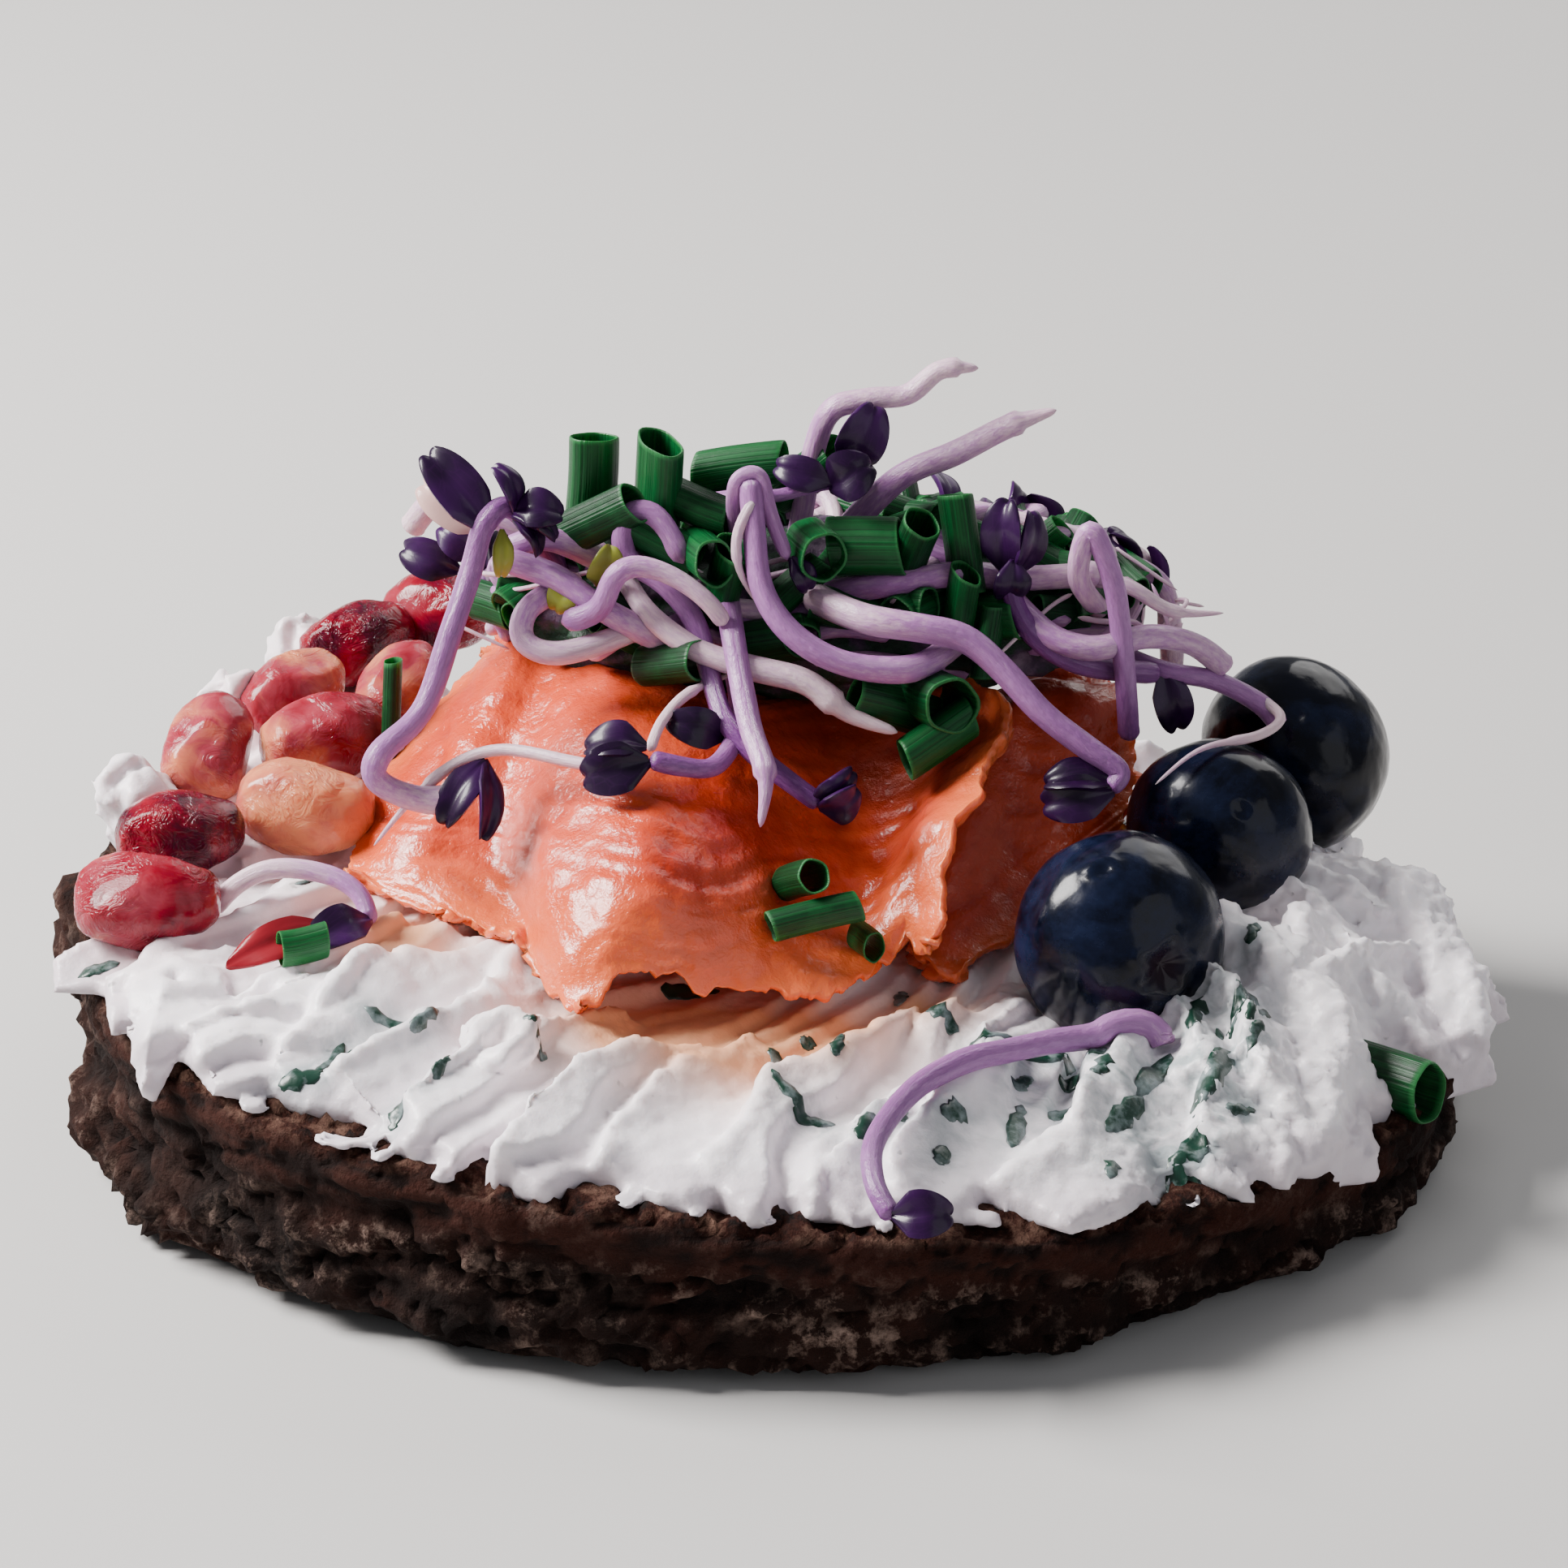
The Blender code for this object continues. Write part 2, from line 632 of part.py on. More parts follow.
# Sprouts, in millimetres: radius at the leaf end, radius at the root end, points from the
# leaf end to the root end. The first or last point lies in the heap's core.
STEMS = {
    "left_arch": (0.75, 0.95, [(-15, 10, 38), (-18.5, 6, 45.2), (-20.6, 4.5, 44.6), (-21.6, 3, 41.5),
                 (-23, 0, 38), (-25, -3, 33), (-28, -6, 31), (-28.2, -6.6, 29), (-25, -6, 27.2),
                 (-21.6, -6, 27.6)]),
    "left_root": (0.5, 0.4, [(-11, -8.6, 30.9), (-14, -7.2, 30.8), (-19.2, -4.5, 30.6), (-23, -4.5, 29.2),
                 (-26, -6, 27), (-28.6, -7, 24)]),
    "middle_leaf_stem": (0.7, 0.7, [(-8.4, -8.4, 31.6), (-6, -8, 30.8), (-3.6, -6.5, 30.2), (-2, -2, 31.4),
                        (-2.5, 4, 33.5)]),
    "middle_thread": (0.4, 0.4, [(-8.4, -7, 31.6), (-7.6, -4.5, 32.8), (-5.6, -1.5, 33.8), (-2, 3, 33.5)]),
    "hanging_root": (0.9, 0.75, [(-3, 7, 38.5), (-2.6, 2, 37.8), (-1.9, -1.5, 35), (-1.1, -5, 32.4),
                    (0, -8.5, 30.4), (-0.4, -11, 27.4)]),
    "hooked_stem": (0.75, 0.8, [(4, -7.6, 27.6), (1.9, -6.6, 28.8), (-0.8, -5, 30.4), (-3, -3, 32.2),
                   (-4, 0, 34), (-5.2, 2.6, 37.6), (-7.6, 4, 40.2), (-10.4, 5.4, 41.6), (-10.2, 6.2, 44.6),
                   (-8, 6, 44.6), (-6, 4.5, 41.5)]),
    "middle_arch": (0.55, 0.6, [(1.6, 3.5, 42.2), (0.2, 4.6, 45.6), (-0.4, 5.2, 48), (-1.6, 5.2, 48.2),
                   (-2.4, 5.4, 46.6), (-2, 9, 39)]),
    "middle_main": (0.85, 1.05, [(-1.2, 5.2, 48), (-0.9, 3.6, 44.7), (-0.4, 1.5, 41), (1.4, 0, 38.3),
                   (4.4, -1, 36.4), (8, -1, 35.4), (11.6, 0, 35.3), (15, 4, 36.4)]),
    "middle_rootlet": (0.45, 0.4, [(-0.8, 4, 46.8), (-2.1, 3, 44.6), (-2, 2, 42), (-0.6, 2.6, 39)]),
    "right_long": (0.75, 1.15, [(25, -4.5, 27.4), (25.9, -3.8, 28.4), (23.6, -3.2, 30), (20.2, -2.2, 32.4),
                  (17.6, -1, 35), (14.6, 0, 37.4), (11, 0, 38.3), (7, 1, 38.6), (3, 5, 38.8)]),
    "white_root": (0.8, 1.1, [(-10.6, 6, 40), (-8.6, 3, 38), (-5, 1, 36), (-0.8, 0, 35), (3, -0.6, 34.2),
                  (6, -1.4, 32), (9.6, -2, 30.8)]),
    "left_thick": (1.0, 1.0, [(-19.4, 6, 41.2), (-15.4, 4.4, 40.4), (-12.6, 3.2, 38.8), (-9.6, 3, 37),
                  (-5.5, 4, 34.5)]),
    "left_hook": (0.9, 0.6, [(-15, 3, 37.4), (-12.2, 2, 38.8), (-11.2, 2, 41.4), (-9.4, 2.4, 42.2),
                 (-6.6, 2, 41.4), (-4.2, 1.2, 39.8), (-3, 1.2, 38)]),
    "left_loop": (0.9, 0.9, [(-15, 6, 39), (-17.6, 3.6, 38.2), (-17.8, 2.2, 36.2), (-14.8, 1.4, 35.6),
                 (-9, 4, 36.6)]),
    "top_thin": (0.9, 0.7, [(2, 11.6, 38), (4, 11, 49.8), (7.2, 11, 51.8), (10.4, 11, 52.2),
                (12.8, 11, 54.2), (15.6, 11, 54.3)]),
    "top_thick": (1.1, 0.8, [(4.6, 13, 39), (9.6, 11.6, 45.2), (14, 11, 47.6), (18, 11, 49.8),
                 (21.4, 11, 51)]),
    "front_pair_stem": (0.55, 0.5, [(-2.2, 5.2, 46.6), (0.6, 6.6, 45.9), (3.6, 7, 46.6), (5, 7.6, 46.6)]),
    "right_purple": (0.75, 0.85, [(18.2, 5.4, 41), (18.2, 4.8, 38.4), (20, 4.2, 35.6), (23.6, 4, 33.5),
                    (29.4, 6.4, 31.8)]),
    "right_thick": (1.0, 0.9, [(17, 9, 38), (20.6, 4.2, 36), (24.2, 3.2, 35.2), (28, 4.6, 35.6),
                   (31.8, 6.8, 34), (34.4, 7.4, 31.6)]),
    "right_end": (0.7, 0.75, [(25, 9, 33), (29.6, 6.4, 32), (33.4, 7, 31), (37, 7, 29), (38.4, 6.4, 27.4)]),
    "right_rootlet": (0.4, 0.35, [(37, 7, 29.4), (38.4, 5.4, 28.6), (36.4, 3.4, 28), (32, 0.4, 28.4),
                     (28.6, -2, 26.6)]),
    "right_peak": (0.8, 0.8, [(25, 8, 36), (22.9, 4.4, 40.4), (23.7, 3.4, 44.6), (25.3, 3.4, 41),
                  (26, 3.4, 37.4), (26.6, 3.2, 32), (27, 4.4, 27.4)]),
    "right_stub": (0.7, 0.4, [(22, 10, 38), (26.4, 7, 38.8), (30, 7, 36.6), (34, 8, 36)]),
    "rear_left": (1.0, 1.0, [(-8, 14, 37), (-19.6, 14, 41), (-24, 16, 42.4), (-27, 17, 39)]),
    "behind_right": (0.95, 0.95, [(4, 7, 38), (9, 5, 39.6), (14, 6, 40), (19, 8, 38.8), (25, 8, 39.2)]),
    "behind_left": (0.9, 0.9, [(-20, 8, 40.6), (-16, 7, 42.4), (-10, 9, 38.6)]),
}

# Leaves, in millimetres: base, tip, width, and which way the face looks.
LEAVES = [
    ((-18.4, 5, 45.4), (-19.6, 5, 49.4), 2.6, (0.8, -0.5, 0)),
    ((-18.4, 4.8, 45.4), (-14.6, 4, 45.8), 3.6, (0, -0.7, 0.7)),
    ((-18.6, 4.6, 45.2), (-14.9, 3.6, 44.0), 2.2, (0.2, -0.4, 1)),
    ((-18.4, 4.6, 45), (-16.2, 3.6, 42.4), 2.2, (0.9, -0.5, 0.3)),
    ((-20.2, 4.6, 43.8), (-25.3, 7, 50), 4.2, (0.5, -1, 0.2)),
    ((-20.4, -4.4, 29.6), (-23.9, -8, 25.8), 3.2, (-0.3, -0.8, 0.6)),
    ((-20.6, -4.2, 29.6), (-20.2, -9, 24.9), 2.6, (0.7, -0.7, 0.3)),
    ((-8.4, -8.4, 31.4), (-13.8, -9.2, 30.4), 4.4, (0, -0.9, 0.5)),
    ((-8.6, -7.6, 32.2), (-13.6, -7.6, 32.4), 3.6, (0.1, -0.5, 0.9)),
    ((-3, -3.2, 31), (-7.4, -4.4, 33), 3.4, (0.2, -0.9, 0.5)),
    ((3.8, -7.6, 27.4), (7, -8, 28.8), 3.6, (0.2, -0.9, -0.3)),
    ((3.2, -7.4, 27.6), (6.8, -6.8, 30), 2.6, (0.6, -0.8, 0.3)),
    ((25.4, -4.6, 27.3), (19.6, -5, 26.2), 4.0, (0, -0.9, 0.4)),
    ((25.4, -4.2, 27.7), (19.8, -4.4, 28.2), 3.4, (0.1, -0.4, 0.9)),
    ((1.8, 3.5, 42.4), (3.4, 3, 39.6), 2.2, (0.4, -0.9, 0.2)),
    ((4.8, 7, 46.8), (0.2, 7.4, 48.2), 3.0, (0, -0.9, 0.4)),
    ((4.6, 7, 46.4), (7.9, 6.4, 48.8), 4.4, (-0.2, -0.9, 0.4)),
    ((5.6, 9, 47), (8.4, 9.4, 52.4), 4.2, (0.2, -0.9, 0.2)),
    ((17.8, 6, 40), (17.4, 6, 46.4), 3.8, (-0.5, -0.9, 0.1)),
    ((18.2, 5.8, 40), (20, 6.4, 45.2), 3.4, (0.7, -0.7, 0)),
    ((18.2, 5, 41.6), (17.6, 4.6, 38), 3.2, (0.3, -1, 0.2)),
    ((29.4, 6.4, 32.2), (31, 5.6, 26.8), 3.4, (0.2, -1, 0.2)),
    ((-12.4, 5, 39.6), (-11.2, 4, 43), 3.2, (0.3, -1, 0.3)),
    ((-14, 5, 40), (-15.8, 3.4, 38), 2.8, (-0.2, -1, 0.3)),
    ((-19.4, 5, 44), (-19.4, 3.8, 40.2), 1.8, (0.2, -1, 0)),
]
LEAF_SHARES = [0, 0.2, 0.5, 0.82, 1]
LEAF_BREADTHS = [0.25, 0.82, 1.0, 0.8, 0.3]

# Cut chives, in millimetres: middle, azimuth and rise of the axis in degrees, length, radius.
HEAP_CHIVES = [
    ((-13, 11, 45.4), 0, 86, 7.0, 1.85),
    ((-8, 9, 45.8), -70, 80, 7.6, 2.35, True),
    ((-12.2, 7, 44), -25, 32, 6.8, 1.6),
    ((-2, 11, 46.4), -10, 12, 6.8, 1.6),
    ((-5, 8, 44.6), 160, 16, 5.8, 1.6, True),
    ((3, 12, 45.6), -20, 40, 6.4, 1.7),
    ((-7.6, 6, 42.6), 165, 24, 5.8, 1.5, True),
    ((-4.4, 4.6, 42), -75, 10, 5.4, 1.75, True),
    ((-3, 4.4, 40.4), -60, 68, 6.0, 1.6),
    ((7.4, 6, 42.2), -10, 4, 5.4, 2.1),
    ((3.6, 5.4, 42.2), -75, 8, 5.0, 1.9, True),
    ((10.6, 6, 41.6), -60, 62, 7.0, 1.5, True),
    ((14.4, 7, 42), 120, 74, 7.4, 1.65, True),
    ((14.4, 4.6, 38.2), -60, 78, 5.6, 1.4),
    ((16.4, 4, 35.4), 60, 70, 5.4, 1.25),
    ((0, 3.6, 35.6), 0, 10, 5.8, 1.7),
    ((2.4, 5, 39.6), 10, 40, 5.0, 1.3),
    ((-7, 2, 34.6), -40, 20, 5.8, 1.6, True),
    ((9.4, 0.6, 31.6), 200, 24, 7.0, 1.7),
    ((12.4, 0.2, 32.6), -62, 8, 5.4, 2.2, True),
    ((12.6, -1.2, 30), 25, 26, 6.0, 1.6),
]
SALMON_CHIVES = [
    ((2.5, -13, 24.6), -60, 30, 4.6, 1.25),
    ((3.5, -15.3, 22.4), 10, 10, 6.6, 1.15),
    ((7.2, -14, 22.4), -70, 10, 3.6, 1.2, True),
]
CREAM_CHIVES = [
    ((-28.4, 11, 26), 80, 76, 9.0, 0.95),
    ((-33, -18.1, 19.4), 8, 10, 3.4, 1.3),
    ((43.4, -16.4, 10.2), -42, 4, 11.5, 2.35, True),
]
SUNK = 0.35 * MM
DROP_FROM = 20 * MM
CREAM_STEMS = {
    "front_arch": (0.8, 0.95, [(8.6, -45.4, 14.6), (7.4, -43, 16), (7.6, -38.5, 17), (11, -31.5, 17.6),
                  (16, -26.6, 17), (21, -23, 16.4), (25.6, -21, 15.4), (27.4, -20, 13.8)]),
    "left_arch_low": (0.7, 0.8, [(-28.6, -12.6, 20.4), (-29.4, -11, 22), (-32, -9.6, 23), (-36.6, -9, 23),
                     (-41, -9.4, 20)]),
}
CREAM_LEAVES = [
    ((8.6, -45.4, 14.8), (13, -46.4, 15.4), 3.8, (0.2, -0.8, 0.5)),
    ((-28.6, -12.8, 20.4), (-33, -17, 20), 3.8, (-0.2, -0.7, 0.7)),
    ((-31.6, -15, 20), (-38.4, -18.4, 18.6), 3.2, (0.1, -0.5, 0.8)),
]
CORE_MIDDLE = (4, 12.6, 34)
CORE_RADII = (26, 9.8, 7.2)
FILLER_STEMS = 7
TUBE_SIDES = 5
TUBE_STEP = 4.0 * MM
THIN_TUBE = 0.65 * MM
CHIVE_SIDES = 6


def tube_stations(points):
    """Evenly spaced points along a stem."""
    reach = sum((b - a).length for a, b in zip(points, points[1:]))
    count = max(len(points), round(reach / TUBE_STEP))
    return [spline_point(points, i / count) for i in range(count + 1)]


def is_inside(point, ground):
    """Whether a line straight up from the point leaves an odd number of faces behind."""
    crossed = 0
    hit = ground.ray_cast(point, UP)[0]
    while hit:
        crossed += 1
        hit = ground.ray_cast(hit + UP * WELD, UP)[0]
    return crossed % 2 == 1


def push_clear(point, ground, clearance):
    """The nearest place to a point that lies clear of everything in the ground."""
    for _ in range(3):
        near, facing, _, distance = ground.find_nearest(point)
        inside = is_inside(point, ground)
        if not inside and distance >= clearance:
            return point
        away = near - point if inside else point - near
        direction = facing if distance < WELD else away.normalized()
        point = near + direction * (clearance + WELD)
    return point


def make_stem(points, radius_first, radius_last, ground, clearance):
    """A tapering tube along a smooth line, kept clear of what it hangs over."""
    stations = tube_stations([mm(*point) for point in points])
    widest = max(radius_first, radius_last) * MM
    sides = TUBE_SIDES if widest > THIN_TUBE else TUBE_SIDES - 1
    if ground:
        stations = [push_clear(point, ground, widest + clearance) for point in stations]
    rings = []
    side = Vector((0, 0, 1))
    last = len(stations) - 1
    for i, centre in enumerate(stations):
        along = (stations[min(i + 1, last)] - stations[max(i - 1, 0)]).normalized()
        side = (side - along * side.dot(along)).normalized()
        other = along.cross(side)
        share = i / last
        radius = (radius_first + (radius_last - radius_first) * share) * MM
        radius *= 0.55 if i in (0, last) else 1
        ring = []
        for k in range(sides):
            angle = 2 * math.pi * k / sides
            ring.append(centre + (side * math.cos(angle) + other * math.sin(angle)) * radius)
        rings.append(ring)
    return loft(rings)


def make_leaf(base, tip, width, facing):
    """A cupped seed leaf: an oval blade, thin all over, its rim turned towards its face."""
    base, tip = mm(*base), mm(*tip)
    along = tip - base
    normal = Vector(facing)
    normal = (normal - along * (normal.dot(along) / along.length_squared)).normalized()
    side = along.cross(normal).normalized()
    rings = []
    for share, breadth in zip(LEAF_SHARES, LEAF_BREADTHS):
        spine = base + along * share
        half = side * width * MM * 0.5 * breadth
        rise = normal * 0.55 * MM * breadth
        wall = normal * LEAF_THICKNESS * 0.5
        rings.append([spine - half + rise, spine - wall, spine + half + rise, spine + wall])
    return loft(rings)


def make_chive(middle, azimuth, rise, length, radius, hollow=False):
    """A short cut of chive, with a bore at its upper end where that end shows."""
    radius, half = radius * MM, length * MM / 2
    profile = [(0, half), (radius, half), (radius, -half), (0, -half)]
    if hollow:
        bore = radius - CHIVE_WALL
        profile[:1] = [(0, half - 1.6 * bore), (bore * 0.9, half - 1.6 * bore), (bore, half)]
    mesh = turned_mesh(profile, CHIVE_SIDES)
    turn = Matrix.Rotation(math.radians(azimuth), 4, "Z") @ Matrix.Rotation(math.radians(90 - rise), 4, "Y")
    mesh.transform(Matrix.Translation(mm(*middle)) @ turn)
    return mesh


def slide_clear(mesh, ground, clearance):
    """Moves a whole mesh, as a rigid thing, until no point of it lies in the ground."""
    for _ in range(10):
        worst, step = 0, None
        for vertex in mesh.vertices:
            moved = push_clear(vertex.co.copy(), ground, clearance)
            if (moved - vertex.co).length > worst:
                worst, step = (moved - vertex.co).length, moved - vertex.co
        if worst < 0.02 * MM:
            return mesh
        mesh.transform(Matrix.Translation(step))
    return mesh


def rest_on(mesh, ground, sunk):
    """Lowers a mesh straight down until its lowest part is sunk in the ground."""
    room = []
    for vertex in mesh.vertices:
        hit = ground.ray_cast(vertex.co + UP * DROP_FROM, DOWN)[0]
        if hit:
            room.append(vertex.co.z - hit.z)
    mesh.transform(Matrix.Translation(DOWN * (min(room) + sunk)))
    return mesh


def filler_stems():
    """Arched stems over the top and back of the core, where none is drawn in the table."""
    draw = random.Random(SEED)
    made = []
    for i in range(FILLER_STEMS):
        middle = math.pi * (0.06 + 0.88 * (i + 0.5 * draw.random()) / FILLER_STEMS)
        swing = draw.choice((-1, 1)) * draw.uniform(0.35, 0.6)
        points = []
        for share, over, rise in ((-1, 0.85, 0.1), (-0.45, 1.12, 0.45), (0.45, 1.16, 0.85), (1, 0.85, 1.1)):
            way = middle + swing * share
            spread = (math.cos(way) * math.cos(rise), math.sin(way) * math.cos(rise), math.sin(rise))
            points.append(tuple(c + r * d * over for c, r, d in zip(CORE_MIDDLE, CORE_RADII, spread)))
        made.append((0.9, 0.8, points))
    return made


def heap_core():
    """The tangled inside of the heap: a lumpy low mound."""
    rows, around = 6, 12
    profile = [(math.sin(math.pi * i / rows), math.cos(math.pi * i / rows)) for i in range(rows + 1)]
    profile[0], profile[-1] = (0, 1), (0, -1)
    mesh = turned_mesh(profile, around)
    for vertex in mesh.vertices:
        lumps = 1 + 0.10 * noise.noise(vertex.co * 2.2 + Vector((0, 5, 0)))
        spread = Vector((a * b for a, b in zip(vertex.co, CORE_RADII)))
        vertex.co = (spread * lumps + Vector(CORE_MIDDLE)) * MM
    return mesh


def fuse(target, meshes, joined):
    """One union of a node with all the small things that lie on it."""
    for mesh in meshes:
        split_faces(mesh)
        add_object("piece", mesh, joined)
    split_faces(target.data)
    union = target.modifiers.new("fused", "BOOLEAN")
    union.operation = "UNION"
    union.operand_type = "COLLECTION"
    union.solver = "MANIFOLD"
    union.collection = joined
    apply_modifiers(target)
    for made in list(joined.objects):
        bpy.data.objects.remove(made, do_unlink=True)
    keep_largest_body(target)
    merge_flat_faces(target)


def make_heap(collection, neighbours, joined, cutters):
    """Core, stems, leaves and chives, kept clear of the toppings and fused to one body."""
    ground = ground_of(*neighbours)
    stems = [*STEMS.values(), *filler_stems()]
    meshes = [make_stem(points, first, last, ground, GAP) for first, last, points in stems]
    meshes += [slide_clear(make_leaf(*leaf), ground, GAP) for leaf in LEAVES]
    meshes += [slide_clear(make_chive(*chive), ground, GAP) for chive in HEAP_CHIVES]
    heap = add_object("sprout_and_chive_heap", heap_core(), collection, "stem")
    carve(heap, neighbours, cutters)
    fuse(heap, meshes, joined)
    return heap


def shift_whole(collection):
    for found in collection.objects:
        found.data.transform(Matrix.Translation(WHOLE_SHIFT))


def main():
    clear_scene()
    sandwich = new_collection("open_sandwich")
    cutters = new_collection("cutters", hidden=True)
    joined = new_collection("joined")
    bread = make_bread(sandwich)
    cream = make_cream(sandwich, bread, cutters)
    ground = ground_of(cream)
    large = make_salmon("salmon_large", SALMON_LARGE, 22, 13, ground, sandwich)
    small = make_salmon("salmon_small", SALMON_SMALL, 8, 9, ground, sandwich)
    berries = [make_berry(name, *facts, sandwich) for name, facts in BERRIES.items()]
    arils = [
        make_aril(f"pomegranate_{i + 1}", *facts, sandwich) for i, facts in enumerate(ARILS)
    ]
    for i in range(1, len(arils)):
        near = [arils[j] for j in range(i) if math.dist(ARILS[i][0], ARILS[j][0]) < ARIL_REACH]
        carve(arils[i], [*near, large], cutters)
    carve(small, [large, *berries], cutters)
    on_salmon = ground_of(large)
    fuse(large, [rest_on(make_chive(*chive), on_salmon, SUNK) for chive in SALMON_CHIVES], joined)
    carve(cream, [large, small, *berries, *arils], cutters)
    clear = ground_of(bread, large, small, *berries, *arils)
    loose = [make_stem(points, a, b, clear, GAP) for a, b, points in CREAM_STEMS.values()]
    loose += [slide_clear(make_leaf(*leaf), clear, GAP) for leaf in CREAM_LEAVES]
    loose += [slide_clear(make_chive(*chive), clear, GAP) for chive in CREAM_CHIVES]
    fuse(cream, loose, joined)
    make_heap(sandwich, [large, small, cream, *berries, *arils], joined, cutters)
    shift_whole(sandwich)
    bpy.data.collections.remove(cutters)
    bpy.data.collections.remove(joined)


main()
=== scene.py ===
"""Looks of the open sandwich: a slice of dark bread with knife-spread herb cream, folded
smoked salmon, pomegranate seeds, blueberries and a heap of radish sprouts and chives.

Tables of places are in millimetres from the middle of the slice, as in the solids' source, and
at() brings them to metres in the shared frame. Soft, grown shapes such as strokes, sheets, stems
and leaves are skinned in mesh code, because hand tools can't follow them. The crumbs, seeds,
berries and cut chives start as primitives.
"""

import json
import math
import random

import bmesh
import bpy
import numpy as np
from mathutils import Matrix, Vector, noise
from mathutils.bvhtree import BVHTree

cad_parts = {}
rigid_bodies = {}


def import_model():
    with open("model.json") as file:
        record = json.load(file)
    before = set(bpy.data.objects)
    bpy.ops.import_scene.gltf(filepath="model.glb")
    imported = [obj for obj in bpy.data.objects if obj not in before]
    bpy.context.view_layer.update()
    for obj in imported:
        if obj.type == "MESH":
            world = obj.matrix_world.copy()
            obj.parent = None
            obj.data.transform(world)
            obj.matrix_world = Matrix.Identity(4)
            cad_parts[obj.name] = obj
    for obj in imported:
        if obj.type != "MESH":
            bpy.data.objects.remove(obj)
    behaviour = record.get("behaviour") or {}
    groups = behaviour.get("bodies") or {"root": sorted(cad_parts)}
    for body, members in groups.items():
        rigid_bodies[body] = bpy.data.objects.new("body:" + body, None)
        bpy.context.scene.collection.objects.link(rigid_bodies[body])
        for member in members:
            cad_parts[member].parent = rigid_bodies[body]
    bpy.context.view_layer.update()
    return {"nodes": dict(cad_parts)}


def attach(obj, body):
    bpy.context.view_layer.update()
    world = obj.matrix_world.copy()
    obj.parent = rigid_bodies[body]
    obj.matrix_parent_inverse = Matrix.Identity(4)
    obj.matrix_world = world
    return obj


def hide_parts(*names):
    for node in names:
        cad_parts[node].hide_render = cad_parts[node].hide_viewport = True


bl_info = {
    "name": "Open Sandwich Looks",
    "version": (1, 0, 0),
    "blender": (4, 5, 0),
    "location": "View3D > Sidebar > Sandwich",
    "description": "Builds the visible pieces of an open sandwich round its solids",
    "category": "Add Mesh",
}

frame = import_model()

MM = 0.001
WHOLE_SHIFT = Vector((-2.0, 0.3, 0)) * MM
WELD = 1e-6
UP = Vector((0, 0, 1))
DOWN = -UP
# Above everything, in metres: where a look straight down starts.
SKY = 0.08
SEED = 11

# The slice, as in the solids.
BREAD_HALF_LENGTH = 51.5
BREAD_FRONT_DEPTH = 43.5
BREAD_BACK_DEPTH = 45.5
BREAD_MID_HEIGHT = 12.5
BREAD_TOP_SLOPE = -0.085
BREAD_SQUARENESS = 2.2
CREAM_REACH = 0.93
CREAM_DEPTH = 2.6
CREAM_MOUND_AT = (35, 1)
CREAM_MOUND_SIZE = (17, 20, 4.2)


def at(x, y, z):
    """A place on the sandwich, given in millimetres from the middle of the slice."""
    return Vector((x, y, z)) * MM + WHOLE_SHIFT


def only(*pieces):
    """Selects these objects and nothing else, with the first one active."""
    if bpy.context.object and bpy.context.object.mode != "OBJECT":
        bpy.ops.object.mode_set(mode="OBJECT")
    bpy.ops.object.select_all(action="DESELECT")
    for piece in pieces:
        piece.select_set(True)
    bpy.context.view_layer.objects.active = pieces[0]


def shape_with(piece, kind, **settings):
    """Adds one modifier and applies it."""
    only(piece)
    step = piece.modifiers.new(kind.lower(), kind)
    for setting, value in settings.items():
        setattr(step, setting, value)
    bpy.ops.object.modifier_apply(modifier=step.name)


def add_piece(name, mesh):
    piece = bpy.data.objects.new(name, mesh)
    bpy.context.scene.collection.objects.link(piece)
    return piece


def primitive(add, **settings):
    """The mesh that one of the add operators makes, at its place, without its object."""
    bpy.ops.object.select_all(action="DESELECT")
    add(**settings)
    made = bpy.context.object
    mesh = made.data.copy()
    mesh.transform(made.matrix_world)
    bpy.data.objects.remove(made)
    return mesh


def mesh_of(points, faces, name="skin"):
    mesh = bpy.data.meshes.new(name)
    mesh.from_pydata(points, [], faces)
    return mesh


def clean(mesh, merge=True, outwards=True):
    """Merges the points that coincide and turns the faces outwards."""
    work = bmesh.new()
    work.from_mesh(mesh)
    if merge:
        bmesh.ops.remove_doubles(work, verts=work.verts[:], dist=WELD)
    if outwards:
        bmesh.ops.recalc_face_normals(work, faces=work.faces[:])
    work.to_mesh(mesh)
    work.free()
    return mesh


def joined_piece(name, meshes):
    """One piece from many meshes, which keeps their attributes."""
    work = bmesh.new()
    for mesh in meshes:
        work.from_mesh(mesh)
    joined = bpy.data.meshes.new(name)
    work.to_mesh(joined)
    work.free()
    return add_piece(name, joined)


def points_of(mesh):
    points = np.zeros(len(mesh.vertices) * 3)
    mesh.vertices.foreach_get("co", points)
    return points.reshape(-1, 3)


def normals_of(mesh):
    normals = np.zeros(len(mesh.vertices) * 3)
    mesh.vertices.foreach_get("normal", normals)
    return normals.reshape(-1, 3)


def set_points(mesh, points):
    mesh.vertices.foreach_set("co", np.asarray(points, np.float32).ravel())
    mesh.update()


def paint(mesh, name, values):
    """Stores one number per point, for the finish to read."""
    layer = mesh.attributes.get(name) or mesh.attributes.new(name, "FLOAT", "POINT")
    layer.data.foreach_set("value", np.asarray(values, np.float32))


def map_points(mesh, name, places):
    """Stores a UV map, from one place on it for each point."""
    layer = mesh.uv_layers.active or mesh.uv_layers.new(name=name)
    corners = np.zeros(len(mesh.loops), int)
    mesh.loops.foreach_get("vertex_index", corners)
    layer.data.foreach_set("uv", np.array(places, np.float32)[corners].ravel())


